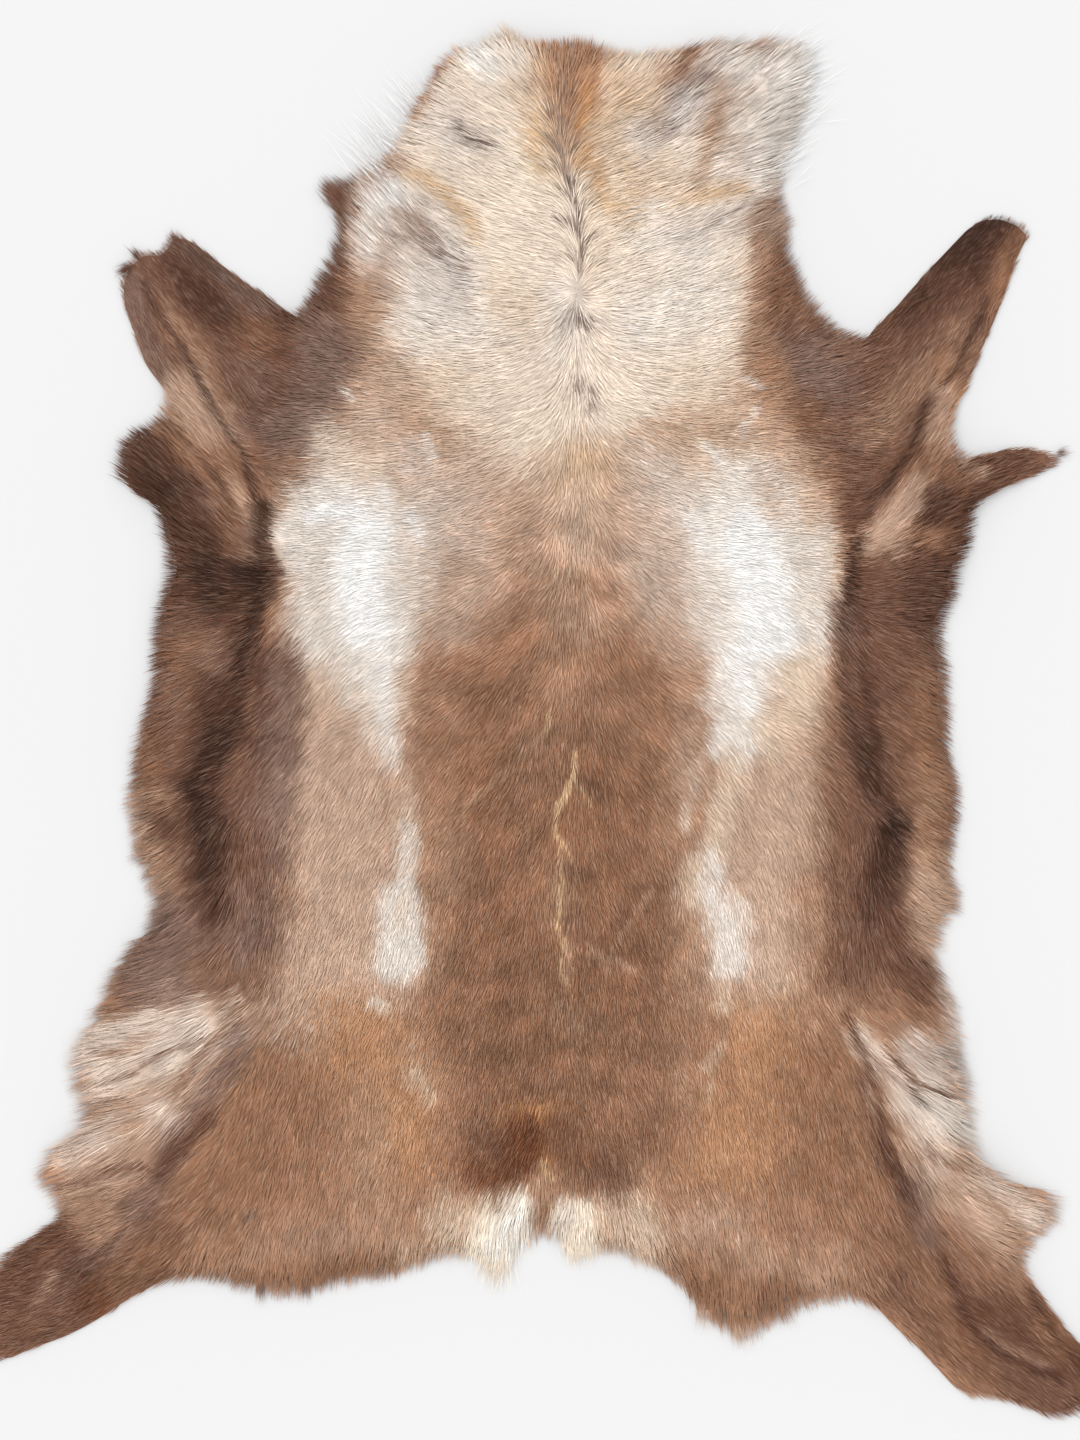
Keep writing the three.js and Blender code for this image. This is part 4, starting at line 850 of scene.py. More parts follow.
# how long the hair is at places on the hide, in millimetres; it changes smoothly between them
hairLength = {
    "elsewhere": 0.0, "share": 1e-9,
    "places": {
        "nape": (590, 90, 60, 26), "neck left": (440, 140, 60, 30), "neck tuft": (400, 250, 44, 46),
        "neck right": (750, 110, 56, 50), "neck middle": (640, 200, 70, 26), "withers": (560, 330, 110, 25),
        "shoulder left": (300, 350, 60, 22), "shoulder right": (830, 370, 60, 22),
        "neck edge left": (330, 220, 30, 34), "neck edge right": (800, 260, 40, 36),
        "foreleg left": (170, 290, 60, 13), "foreleg right": (970, 270, 60, 12),
        "inner leg left": (180, 410, 30, 22), "inner leg right": (940, 420, 30, 22),
        "flap left": (150, 480, 40, 27), "flap right": (960, 540, 40, 25), "flap tip": (1030, 460, 30, 17),
        "saddle": (560, 600, 150, 17), "back": (560, 900, 150, 16), "ribs left": (330, 700, 90, 19),
        "ribs right": (800, 700, 90, 19), "belly left": (180, 720, 60, 31), "belly right": (920, 740, 60, 27),
        "flank left": (150, 960, 60, 38), "flank right": (930, 960, 50, 36),
        "thigh left": (130, 1090, 60, 52), "thigh right": (960, 1130, 60, 50),
        "loin": (560, 1080, 120, 16), "ham left": (280, 1160, 90, 19), "ham right": (820, 1160, 90, 19),
        "rump edge left": (330, 1270, 60, 36), "rump edge right": (740, 1290, 60, 38),
        "foreleg tip left": (132, 250, 26, 7), "foreleg tip right": (1012, 210, 26, 8),
        "tail": (530, 1225, 30, 46), "shank left": (20, 1310, 60, 19), "shank right": (1050, 1370, 60, 18),
    },
}

# where the long hair falls into locks
hairLocks = {
    "elsewhere": 0.08, "share": 0.06,
    "places": {
        "thigh left": (130, 1100, 50, 0.1), "thigh right": (960, 1140, 56, 0.1),
        "tail": (530, 1232, 40, 0.15),
        "neck tuft": (400, 236, 34, 0.6), "neck right": (696, 104, 34, 0.45), "flank": (140, 970, 40, 0.4),
        "neck": (560, 160, 90, 0.04), "neck edge right": (786, 110, 30, 0.4),
        "rump edge": (730, 1310, 40, 0.5),
    },
}

skin = {
    "spacing": 9.5, "thickness": 1.8, "undercoat": 0.8, "edge": 4.5, "clear": 0.15,
    # how far its edge is drawn in: a share of the reach of the hair there, between two limits
    "leastInset": 2.5, "mostInset": 19.0, "reachShare": 0.8, "evenings": 6, "leastGap": 0.8,
    "outlineStep": 5.0, "edgeStep": 5.5, "edgeClear": 4.5, "taper": 24.0,
    "underSmoothing": 2, "topSmoothing": 1, "colourSeed": 5,
}

# the part of the board that the hide may cover, and the mesh of places over it
grid = {"left": -50.0, "right": 1135.0, "top": 0.0, "bottom": 1446.0, "step": 5.0}

# the height of a row of even triangles, as a share of their side
rowShare = 0.866


def gridAxes():
    across = np.arange(grid["left"], grid["right"], grid["step"])
    return across, np.arange(grid["top"], grid["bottom"], grid["step"])


def readGrid(field, x, y):  # a field's value between its grid points
    xs, ys = gridAxes()
    gx = np.clip((x - xs[0]) / grid["step"], 0, len(xs) - 1.001)
    gy = np.clip((y - ys[0]) / grid["step"], 0, len(ys) - 1.001)
    ix, iy = gx.astype(int), gy.astype(int)
    fx, fy = gx - ix, gy - iy
    if field.ndim == 3:
        fx, fy = fx[:, None], fy[:, None]
    upper = field[iy, ix] * (1 - fx) + field[iy, ix + 1] * fx
    lower = field[iy + 1, ix] * (1 - fx) + field[iy + 1, ix + 1] * fx
    return upper * (1 - fy) + lower * fy


def smoothed(field, times):
    for _ in range(times):
        padded = np.pad(field, [(1, 1), (1, 1)] + [(0, 0)] * (field.ndim - 2), mode="edge")
        above, below = padded[:-2, 1:-1], padded[2:, 1:-1]
        before, after = padded[1:-1, :-2], padded[1:-1, 2:]
        field = (2 * field + above + below + before + after) / 6.0
    return field


def evenWays(ways):  # every way made one long
    return ways / (np.linalg.norm(ways, axis=2, keepdims=True) + 1e-12)


def combGrid():
    xs, ys = gridAxes()
    gx, gy = np.meshgrid(xs, ys)
    places, ways = [], []
    for stroke in comb["strokes"]:
        for (ax, ay), (bx, by) in zip(stroke[:-1], stroke[1:]):
            span = np.hypot(bx - ax, by - ay)
            for t in np.linspace(0.0, 1.0, max(2, int(span / comb["step"])), endpoint=False):
                places.append((ax + (bx - ax) * t, ay + (by - ay) * t))
                ways.append(((bx - ax) / span, (by - ay) / span))
    total = np.zeros((len(ys), len(xs), 2))
    for (px, py), way in zip(places, ways):
        away = (gx - px) ** 2 + (gy - py) ** 2
        total += (1.0 / (away + comb["reach"] ** 2) ** 2)[:, :, None] * np.array(way)
    return evenWays(smoothed(evenWays(total), comb["smoothing"]))


def placeGrid(settings):  # a value known at some places, spread smoothly over the rest
    xs, ys = gridAxes()
    gx, gy = np.meshgrid(xs, ys)
    weights = np.full_like(gx, settings["share"])
    total = weights * settings["elsewhere"]
    for x, y, reach, value in settings["places"].values():
        weight = np.exp(-((gx - x) ** 2 + (gy - y) ** 2) / (2.0 * reach * reach)) + 1e-7
        total += weight * value
        weights += weight
    return total / weights


def closedRoute(loop):
    return [tuple(p) for p in np.vstack([loop, loop[:1]])]


def edgeGrid(loop):  # 0 on the skin's edge and outside it, 1 from a little way in
    xs, ys = gridAxes()
    gx, gy = np.meshgrid(xs, ys)
    gx, gy = gx.ravel(), gy.ravel()
    inside = inLoop(gx, gy, loop)
    away = np.zeros(len(gx))
    away[inside] = lineDistance(gx[inside], gy[inside], closedRoute(loop))
    return easeInOut(away / skin["taper"]).reshape(len(ys), len(xs))


def solidGrids():  # how high the solid's underside and its pile's top lie over the board, in millimetres
    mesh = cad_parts["hide"].data
    corners = [v.co.copy() for v in mesh.vertices]
    tree = BVHTree.FromPolygons(corners, [tuple(p.vertices) for p in mesh.polygons])
    xs, ys = gridAxes()
    under, top = np.zeros((len(ys), len(xs))), np.zeros((len(ys), len(xs)))
    for row, y in enumerate(ys):
        for column, x in enumerate(xs):
            fx, fy = toFrame(x, y)
            hit = tree.ray_cast(Vector((fx, fy, 1.0)), Vector((0, 0, -1)))[0]
            if hit is not None:
                top[row, column] = hit.z * board["perMetre"]
                below = tree.ray_cast(Vector((fx, fy, -1.0)), Vector((0, 0, 1)))[0]
                under[row, column] = below.z * board["perMetre"]
    return under, top


def solidOutline():  # the cut edge of the solid on the board, one loop
    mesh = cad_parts["hide"].data
    place, keyed = {}, []
    for v in mesh.vertices:
        key = (round(v.co.x * 1e5), round(v.co.y * 1e5))
        place[key] = toBoard(v.co.x, v.co.y)
        keyed.append(key)
    after = {}
    for p in mesh.polygons:
        if p.normal.z < -0.2:
            loop = [keyed[i] for i in p.vertices]
            for a, b in zip(loop, loop[1:] + loop[:1]):
                if after.get(b) is not None and a in after[b]:
                    after[b].discard(a)
                else:
                    after.setdefault(a, set()).add(b)
    after = {a: next(iter(bs)) for a, bs in after.items() if bs}
    key = start = min(after)
    loop = []
    while True:
        loop.append(place[key])
        key = after[key]
        if key == start:
            return np.array(loop)


def inLoop(x, y, loop):
    inside = np.zeros(len(x), bool)
    ax, ay = loop[:, 0], loop[:, 1]
    bx, by = np.roll(ax, -1), np.roll(ay, -1)
    for i in range(len(loop)):
        if ay[i] == by[i]:
            continue
        crosses = (ay[i] > y) != (by[i] > y)
        inside ^= crosses & (x < (bx[i] - ax[i]) * (y - ay[i]) / (by[i] - ay[i]) + ax[i])
    return inside


def resampled(loop, step):
    closed = np.vstack([loop, loop[:1]])
    lengths = np.hypot(*np.diff(closed, axis=0).T)
    along = np.concatenate([[0.0], np.cumsum(lengths)])
    at = np.linspace(0.0, along[-1], int(along[-1] / step), endpoint=False)
    return np.stack([np.interp(at, along, closed[:, 0]), np.interp(at, along, closed[:, 1])], 1)


def skinLoop(outline):  # the edge of the skin, drawn in by as far as the hair reaches past it
    loop = resampled(outline, skin["outlineStep"])
    way = np.roll(loop, -1, 0) - np.roll(loop, 1, 0)
    outward = np.stack([way[:, 1], -way[:, 0]], 1) / np.linalg.norm(way, axis=1, keepdims=True)
    probe = loop + outward
    if inLoop(probe[:, 0], probe[:, 1], loop).mean() > 0.5:
        outward = -outward
    lies = readGrid(fields["comb"], loop[:, 0], loop[:, 1])
    reach = readGrid(fields["length"], loop[:, 0], loop[:, 1]) * skin["reachShare"]
    inset = np.clip(reach * np.sum(lies * outward, axis=1), skin["leastInset"], skin["mostInset"])
    for _ in range(skin["evenings"]):
        inset = (np.roll(inset, 1) + 2.0 * inset + np.roll(inset, -1)) / 4.0
    drawn = loop - outward * inset[:, None]
    kept = []
    for point, own in zip(drawn, inset):
        near = np.min(np.hypot(loop[:, 0] - point[0], loop[:, 1] - point[1]))
        if near > skin["leastGap"] * own:
            kept.append(point)
    return resampled(np.array(kept), skin["edgeStep"])


def skinHeight(x, y):  # of the skin's underside over the floor
    return np.maximum(readGrid(fields["under"], x, y), 0.0) + skin["clear"]


def undercoatHeight(x, y):  # the thick wool under the hair, thinner towards the edge
    low = skinHeight(x, y)
    wool = skin["undercoat"] * np.maximum(readGrid(fields["top"], x, y) - low - skin["edge"], 0.0)
    return low + skin["thickness"] + wool * readGrid(fields["edge"], x, y)


def skinPoints(loop):  # its edge, and rows of points inside
    xs, ys = [], []
    for row, y in enumerate(np.arange(grid["top"], grid["bottom"], skin["spacing"] * rowShare)):
        start = grid["left"] + (row % 2) * skin["spacing"] / 2.0
        for x in np.arange(start, grid["right"], skin["spacing"]):
            xs.append(x)
            ys.append(y)
    xs, ys = np.array(xs), np.array(ys)
    kept = inLoop(xs, ys, loop)
    kept[kept] &= lineDistance(xs[kept], ys[kept], closedRoute(loop)) > skin["edgeClear"]
    return np.vstack([loop, np.stack([xs[kept], ys[kept]], 1)])


def makeSkin(loop):  # a closed sheet: suede below and round the edge, wool above
    edge = list(range(len(loop)))
    flat, _, faces, _, _, _ = geometry.delaunay_2d_cdt(
        [Vector(p) for p in skinPoints(loop)], [], [edge], 1, 1e-4)
    flat = np.array([tuple(p) for p in flat])
    faces = [list(f) for f in faces]
    low = skinHeight(flat[:, 0], flat[:, 1])
    fx, fy = toFrame(flat[:, 0], flat[:, 1])
    count = len(flat)
    bottom = np.stack([fx, fy, low / board["perMetre"]], 1)
    upper = np.stack([fx, fy, undercoatHeight(flat[:, 0], flat[:, 1]) / board["perMetre"]], 1)
    turned = []
    rim = {}
    for a, b, c in faces:
        area = (fx[b] - fx[a]) * (fy[c] - fy[a]) - (fy[b] - fy[a]) * (fx[c] - fx[a])
        a, b, c = (a, b, c) if area > 0 else (a, c, b)
        turned.append((a, b, c))
        for p, q in ((a, b), (b, c), (c, a)):
            if (q, p) in rim:
                del rim[(q, p)]
            else:
                rim[(p, q)] = True
    allFaces = [(a + count, b + count, c + count) for a, b, c in turned]
    allFaces += [(a, c, b) for a, b, c in turned]
    sides = [(p, q, q + count, p + count) for p, q in rim]
    mesh = bpy.data.meshes.new("skin")
    mesh.from_pydata(np.vstack([bottom, upper]).tolist(), [], allFaces + sides)
    mesh.materials.append(undercoatMaterial)
    mesh.materials.append(suedeMaterial)
    for polygon in mesh.polygons:
        polygon.material_index = 0 if polygon.index < len(turned) else 1
        polygon.use_smooth = True
    colour = coatColour(flat[:, 0], flat[:, 1], np.random.default_rng(skin["colourSeed"]), 0.0)
    putColour(mesh, np.vstack([colour, colour]))
    piece = bpy.data.objects.new("skin", mesh)
    bpy.context.scene.collection.objects.link(piece)
    return piece


# evens out what the hairs' own shade takes away: red, green and blue
tone = {"gain": (0.973, 1.014, 1.06), "power": (1.0, 1.04, 1.08), "most": 0.96}


def plainToLight(colour):  # from the look on a screen to the share of light given back
    colour = np.clip(colour, 0.0, 1.0)
    return np.where(colour < 0.04045, colour / 12.92, ((colour + 0.055) / 1.055) ** 2.4)


def putColour(mesh, colour):
    attribute = mesh.attributes.new("coat", "FLOAT_COLOR", "POINT")
    light = plainToLight(colour)
    light = np.clip(np.array(tone["gain"]) * light ** np.array(tone["power"]), 0.0, tone["most"])
    light = np.hstack([light, np.ones((len(colour), 1))])
    attribute.data.foreach_set("color", light.astype(np.float32).ravel())


fur = {
    "seed": 11,
    # one hair: how wide and bent, where it bends, and how far these vary
    "hairWidth": 0.78, "arch": 0.13, "bend": 0.42, "leastDepth": 4.0, "turnSpread": 0.16,
    "lengthSpread": 0.22, "longest": 1.06, "widthRange": (0.7, 1.3), "archRange": (0.8, 1.2),
    # its girth, which grows with its length, and less in shaggy hair
    "girth": 0.70, "girthOver": 80.0, "girthRange": (0.6, 1.0), "shaggyThin": 0.18,
    # its root, in the undercoat, and its tip, by the top of the pile
    "scatter": 0.45, "rootDip": 0.4, "leastRise": 1.0, "leastRun": 0.6, "tipClear": 0.7,
    "lay": 0.9, "layRange": (-0.1, 0.05), "lumps": 0.04, "lumpSize": 11.0, "lumpSeed": 31,
    # the comb's way wanders in small and wide clumps
    "clump": 0.2, "clumpSize": 15.0, "clumpSeed": 21, "wideShare": 0.7, "wideSize": 42.0, "wideSeed": 25,
    # tips are drawn together in tufts and locks
    "tuft": 0.25, "tuftSize": 9.0, "lock": 0.4, "lockSize": 17.0, "lockSeed": 61, "lockJitter": 0.42,
    # the hair between locks lies lower, and its colour darker there as painted shade
    "lockCore": 0.22, "lockGap": 0.5, "paintedGapShade": 0.24, "lockDip": 0.16,
    # hair longer than this grows shaggy
    "shaggyFrom": 24.0, "shaggyOver": 22.0, "shaggyCalm": 0.45,
    # its colour is that over its middle, and some hairs are paler than their neighbours
    "colourAt": 0.6, "frosted": 0.3, "frost": 0.22, "frostCalm": 0.6, "frostShade": "ash",
    "ownShade": 0.05, "ownShadeLong": 0.04,
    # name, from and to down the board, and the space between roots
    "bands": [
        ("fur_neck", 0.0, 350.0, 2.1), ("fur_shoulders", 350.0, 560.0, 2.2), ("fur_ribs", 560.0, 740.0, 2.17),
        ("fur_back", 740.0, 920.0, 2.17), ("fur_loin", 920.0, 1100.0, 2.17),
        ("fur_rump", 1100.0, 1446.0, 2.2),
    ],
}


# stray hairs that stand out past the edge
wisp = {
    "width": 0.4, "depth": 5.0, "rootScatter": 0.5, "tipScatter": 0.25, "share": (0.6, 1.05),
    "height": (2.5, 7.0),
}

# where they grow: from, to, how far both scatter, how many, shade
wisps = {
    "fur_neck": [
        ((390, 180), (344, 132), 24, 90, "snow"), ((406, 150), (360, 104), 24, 90, "snow"),
        ((428, 112), (394, 76), 20, 90, "snow"), ((784, 70), (824, 46), 24, 100, "snow"),
        ((786, 112), (824, 90), 26, 100, "snow"), ((776, 156), (810, 134), 24, 90, "snow"),
        ((340, 204), (318, 178), 9, 60, "umber"), ((130, 264), (112, 272), 4, 70, "cocoa"),
        ((138, 256), (128, 246), 4, 40, "cocoa"), ((176, 244), (170, 226), 4, 40, "umber"),
        ((756, 44), (776, 34), 7, 30, "tan"),
    ],
    "fur_shoulders": [
        ((1058, 453), (1074, 449), 4, 30, "umber"),
    ],
    "fur_rump": [
        ((262, 1274), (259, 1310), 4, 60, "smokeSheen"), ((304, 1274), (308, 1306), 4, 60, "smokeSheen"),
        ((706, 1304), (704, 1332), 7, 60, "tan"), ((738, 1322), (744, 1350), 9, 90, "tan"),
        ((780, 1304), (792, 1328), 8, 70, "fawn"), ((498, 1256), (495, 1282), 16, 260, "straw"),
        ((578, 1242), (582, 1264), 14, 220, "straw"),
    ],
    "fur_loin": [
        ((100, 1040), (62, 1062), 12, 90, "rose"), ((108, 1080), (70, 1094), 10, 80, "blush"),
        ((114, 1004), (96, 1014), 10, 50, "haze"), ((104, 1030), (84, 1042), 10, 70, "haze"),
    ],
}


def strandObject():  # one hair a metre long, lying along +X, as a thin closed sliver bent up at its middle
    mesh = bpy.data.meshes.new("strand")
    bend = fur["bend"]
    corners = [(0.0, 0.0, 0.0), (bend, 0.5, 1.0), (bend, -0.5, 1.0), (1.0, 0.0, 0.0)]
    mesh.from_pydata(corners, [], [(0, 2, 1), (1, 2, 3), (0, 1, 3), (0, 3, 2)])
    along = mesh.attributes.new("along", "FLOAT", "POINT")
    along.data.foreach_set("value", [0.0, bend, bend, 1.0])
    return bpy.data.objects.new("strand", mesh)


def furTree():
    tree = bpy.data.node_groups.new("fur from roots", "GeometryNodeTree")
    face = tree.interface
    face.new_socket("Roots", in_out="INPUT", socket_type="NodeSocketGeometry")
    face.new_socket("Strand", in_out="INPUT", socket_type="NodeSocketObject")
    for label in ("Hair Width", "Arch", "Turn Spread", "Length Spread"):
        face.new_socket(label, in_out="INPUT", socket_type="NodeSocketFloat")
    face.new_socket("Seed", in_out="INPUT", socket_type="NodeSocketInt")
    face.new_socket("Hair Material", in_out="INPUT", socket_type="NodeSocketMaterial")
    face.new_socket("Fur", in_out="OUTPUT", socket_type="NodeSocketGeometry")
    nodes, links = tree.nodes, tree.links
    given = nodes.new("NodeGroupInput")
    made = nodes.new("NodeGroupOutput")

    def feed(socket, value):
        if isinstance(value, float):
            socket.default_value = value
        else:
            links.new(value, socket)

    def combined(operation, a, b):
        node = nodes.new("ShaderNodeMath")
        node.operation = operation
        feed(node.inputs[0], a)
        feed(node.inputs[1], b)
        return node.outputs[0]

    def randomValue(low, high, seedStep):
        node = nodes.new("FunctionNodeRandomValue")
        node.data_type = "FLOAT"
        ends = [s for s in node.inputs if s.type == "VALUE" and s.name in ("Min", "Max")]
        feed(ends[0], low)
        feed(ends[1], high)
        links.new(combined("ADD", given.outputs["Seed"], float(seedStep)), node.inputs["Seed"])
        return next(s for s in node.outputs if s.type == "VALUE")

    def rootValue(name, dataType, socketType):
        node = nodes.new("GeometryNodeInputNamedAttribute")
        node.data_type = dataType
        node.inputs["Name"].default_value = name
        return next(s for s in node.outputs if s.type == socketType and s.name == "Attribute")

    reach = rootValue("reach", "FLOAT_VECTOR", "VECTOR")
    girth = rootValue("girth", "FLOAT", "VALUE")
    rise = rootValue("rise", "FLOAT", "VALUE")

    turn = nodes.new("ShaderNodeVectorRotate")
    turn.rotation_type = "Z_AXIS"
    links.new(reach, turn.inputs["Vector"])
    spread = given.outputs["Turn Spread"]
    links.new(randomValue(combined("MULTIPLY", spread, -1.0), spread, 0), turn.inputs["Angle"])
    aim = nodes.new("FunctionNodeAxesToRotation")
    aim.primary_axis = "X"
    aim.secondary_axis = "Z"
    links.new(turn.outputs["Vector"], aim.inputs["Primary Axis"])
    aim.inputs["Secondary Axis"].default_value = (0.0, 0.0, 1.0)
    length = nodes.new("ShaderNodeVectorMath")
    length.operation = "LENGTH"
    links.new(turn.outputs["Vector"], length.inputs[0])
    shortest = combined("SUBTRACT", 1.0, given.outputs["Length Spread"])
    hairLong = combined("MULTIPLY", length.outputs["Value"], randomValue(shortest, fur["longest"], 1))
    ownWidth = combined("MULTIPLY", given.outputs["Hair Width"], girth)
    wide = combined("MULTIPLY", ownWidth, randomValue(*fur["widthRange"], 2))
    ownArch = combined("MULTIPLY", given.outputs["Arch"], rise)
    high = combined("MULTIPLY", ownArch, randomValue(*fur["archRange"], 3))
    size = nodes.new("ShaderNodeCombineXYZ")
    links.new(hairLong, size.inputs["X"])
    links.new(wide, size.inputs["Y"])
    links.new(high, size.inputs["Z"])

    hair = nodes.new("GeometryNodeObjectInfo")
    links.new(given.outputs["Strand"], hair.inputs["Object"])
    sow = nodes.new("GeometryNodeInstanceOnPoints")
    links.new(given.outputs["Roots"], sow.inputs["Points"])
    links.new(hair.outputs["Geometry"], sow.inputs["Instance"])
    links.new(aim.outputs["Rotation"], sow.inputs["Rotation"])
    links.new(size.outputs["Vector"], sow.inputs["Scale"])
    real = nodes.new("GeometryNodeRealizeInstances")
    links.new(sow.outputs["Instances"], real.inputs["Geometry"])
    finish = nodes.new("GeometryNodeSetMaterial")
    links.new(real.outputs["Geometry"], finish.inputs["Geometry"])
    links.new(given.outputs["Hair Material"], finish.inputs["Material"])
    links.new(finish.outputs["Geometry"], made.inputs["Fur"])
    return tree


def sowRoots(loop, top, bottom, spacing, seed):  # a loose even scatter of hair roots over one band
    chance = np.random.default_rng(seed)
    rows = np.arange(top, bottom, spacing * rowShare)
    columns = np.arange(grid["left"], grid["right"], spacing)
    x, y = np.meshgrid(columns, rows)
    x = x + (np.arange(len(rows)) % 2)[:, None] * spacing / 2.0
    x = (x + chance.uniform(-fur["scatter"], fur["scatter"], x.shape) * spacing).ravel()
    y = (y + chance.uniform(-fur["scatter"], fur["scatter"], y.shape) * spacing).ravel()
    kept = inLoop(x, y, loop)
    return x[kept], y[kept], chance


def combedWay(x, y):  # the comb's way with a little waywardness
    lies = readGrid(fields["comb"], x, y)
    swing = fur["clump"] * roundNoise(x, y, fur["clumpSize"], fur["clumpSeed"])
    swing = swing + fur["wideShare"] * fur["clump"] * roundNoise(x, y, fur["wideSize"], fur["wideSeed"])
    cos, sin = np.cos(swing), np.sin(swing)
    return np.stack([lies[:, 0] * cos - lies[:, 1] * sin, lies[:, 0] * sin + lies[:, 1] * cos], 1)


def lockCentres(x, y, size):  # each hair's nearest lock, one lock to a cell of a loose grid
    cells, jitter = 256, fur["lockJitter"]
    shift = np.random.default_rng(fur["lockSeed"]).uniform(-jitter, jitter, (cells, cells, 2))
    column, row = np.round(x / size).astype(int), np.round(y / size).astype(int)
    best = np.full(len(x), 1e9)
    centreX, centreY = x.copy(), y.copy()
    for stepX in (-1, 0, 1):
        for stepY in (-1, 0, 1):
            moved = shift[(row + stepY) % cells, (column + stepX) % cells]
            px = (column + stepX + moved[:, 0]) * size
            py = (row + stepY + moved[:, 1]) * size
            away = (px - x) ** 2 + (py - y) ** 2
            nearer = away < best
            best[nearer], centreX[nearer], centreY[nearer] = away[nearer], px[nearer], py[nearer]
    return centreX, centreY


def addWisps(name, chance, hairs):
    for start, end, scatter, many, shade in wisps.get(name, []):
        rootX = start[0] + chance.normal(0.0, wisp["rootScatter"] * scatter, many)
        rootY = start[1] + chance.normal(0.0, wisp["rootScatter"] * scatter, many)
        share = chance.uniform(*wisp["share"], many)
        blurX = chance.normal(0.0, wisp["tipScatter"] * scatter, many)
        blurY = chance.normal(0.0, wisp["tipScatter"] * scatter, many)
        stray = {
            "x": rootX, "y": rootY, "root": undercoatHeight(rootX, rootY) - fur["rootDip"],
            "tipX": rootX + (end[0] - start[0]) * share + blurX,
            "tipY": rootY + (end[1] - start[1]) * share + blurY,
            "tip": chance.uniform(*wisp["height"], many), "depth": np.full(many, wisp["depth"]),
            "girth": np.full(many, wisp["width"]), "colour": np.tile(shadeOf(shade), (many, 1)),
        }
        for part in hairs:
            hairs[part] = np.concatenate([hairs[part], stray[part]])


def layHairs(name, top, bottom, spacing, loop, seed):  # each hair's root, tip, girth and colour
    x, y, chance = sowRoots(loop, top, bottom, spacing, seed)
    count = len(x)
    length = readGrid(fields["length"], x, y)
    way = combedWay(x, y)
    root = undercoatHeight(x, y) - fur["rootDip"]
    depth = np.maximum(readGrid(fields["top"], x, y) - root, fur["leastRise"])
    run = np.sqrt(np.maximum(length ** 2 - depth ** 2, (fur["leastRun"] * length) ** 2))
    tipX, tipY = x + way[:, 0] * run, y + way[:, 1] * run

    shaggy = easeInOut((length - fur["shaggyFrom"]) / fur["shaggyOver"])
    locks = readGrid(fields["locks"], x, y)
    tuftPull = fur["tuft"] * (0.5 + 0.5 * np.sin(np.pi * shaggy))
    for size, pull in ((fur["tuftSize"], tuftPull), (fur["lockSize"], fur["lock"] * locks)):
        lockX, lockY = lockCentres(x, y, size)
        lockWay = combedWay(lockX, lockY)
        tipX += pull * (lockX + lockWay[:, 0] * run - tipX)
        tipY += pull * (lockY + lockWay[:, 1] * run - tipY)

    # the hair between two locks lies lower, and its colour is darker there as painted shade
    aside = np.hypot(x - lockX, y - lockY) / fur["lockSize"]
    between = locks * np.clip(aside - fur["lockCore"], 0.0, fur["lockGap"])
    uneven = 1.0 - fur["shaggyCalm"] * shaggy
    lumps = fur["lumps"] * roundNoise(x, y, fur["lumpSize"], fur["lumpSeed"])
    lay = fur["lay"] + uneven * (lumps + chance.uniform(*fur["layRange"], count)) - fur["lockDip"] * between
    pileTop = readGrid(fields["top"], tipX, tipY) * lay
    tip = np.maximum(pileTop, undercoatHeight(tipX, tipY) + fur["tipClear"])

    middleX, middleY = x + way[:, 0] * run * fur["colourAt"], y + way[:, 1] * run * fur["colourAt"]
    colour = coatColour(middleX, middleY, chance, coat["mingling"])
    frosted = (chance.uniform(0.0, 1.0, count) < fur["frosted"]) - fur["frosted"]
    frost = fur["frost"] * (1.0 - fur["frostCalm"] * shaggy) * frosted
    colour += frost[:, None] * (shadeOf(fur["frostShade"]) - colour)
    own = (fur["ownShade"] + fur["ownShadeLong"] * shaggy) * chance.standard_normal(count)
    # darker between locks: painted shade
    colour = colour * (1.0 + own - fur["paintedGapShade"] * between)[:, None]
    girth = np.clip(fur["girth"] + length / fur["girthOver"], *fur["girthRange"]) - fur["shaggyThin"] * shaggy

    hairs = {
        "x": x, "y": y, "root": root, "tipX": tipX, "tipY": tipY, "tip": tip, "depth": depth,
        "girth": girth, "colour": colour,
    }
    addWisps(name, chance, hairs)
    return hairs


def rootPoints(name, hairs):  # the roots as loose points, with what the fur's tree reads from them
    fx, fy = toFrame(hairs["x"], hairs["y"])
    tx, ty = toFrame(hairs["tipX"], hairs["tipY"])
    mesh = bpy.data.meshes.new(name)
    mesh.from_pydata(np.stack([fx, fy, hairs["root"] / board["perMetre"]], 1).tolist(), [], [])

    def put(label, dataType, socket, values):
        attribute = mesh.attributes.new(label, dataType, "POINT")
        attribute.data.foreach_set(socket, values.astype(np.float32).ravel())

    climb = (hairs["tip"] - hairs["root"]) / board["perMetre"]
    put("reach", "FLOAT_VECTOR", "vector", np.stack([tx - fx, ty - fy, climb], 1))
    put("girth", "FLOAT", "value", hairs["girth"])
    put("rise", "FLOAT", "value", np.maximum(hairs["depth"], fur["leastDepth"]) / board["perMetre"])
    putColour(mesh, hairs["colour"])
    return mesh


def layFlat(mesh):  # its layout for baking, as seen from above
    layout = mesh.uv_layers.new(name="OFBake")
    where = np.zeros(len(mesh.vertices) * 3, np.float32)
    mesh.vertices.foreach_get("co", where)
    where = where.reshape(-1, 3)[:, :2]
    low, high = where.min(0), where.max(0)
    corner = np.zeros(len(mesh.loops), np.int32)
    mesh.loops.foreach_get("vertex_index", corner)
    flat = 0.01 + 0.98 * (where - low) / (high - low).max()
    layout.uv.foreach_set("vector", flat[corner].astype(np.float32).ravel())


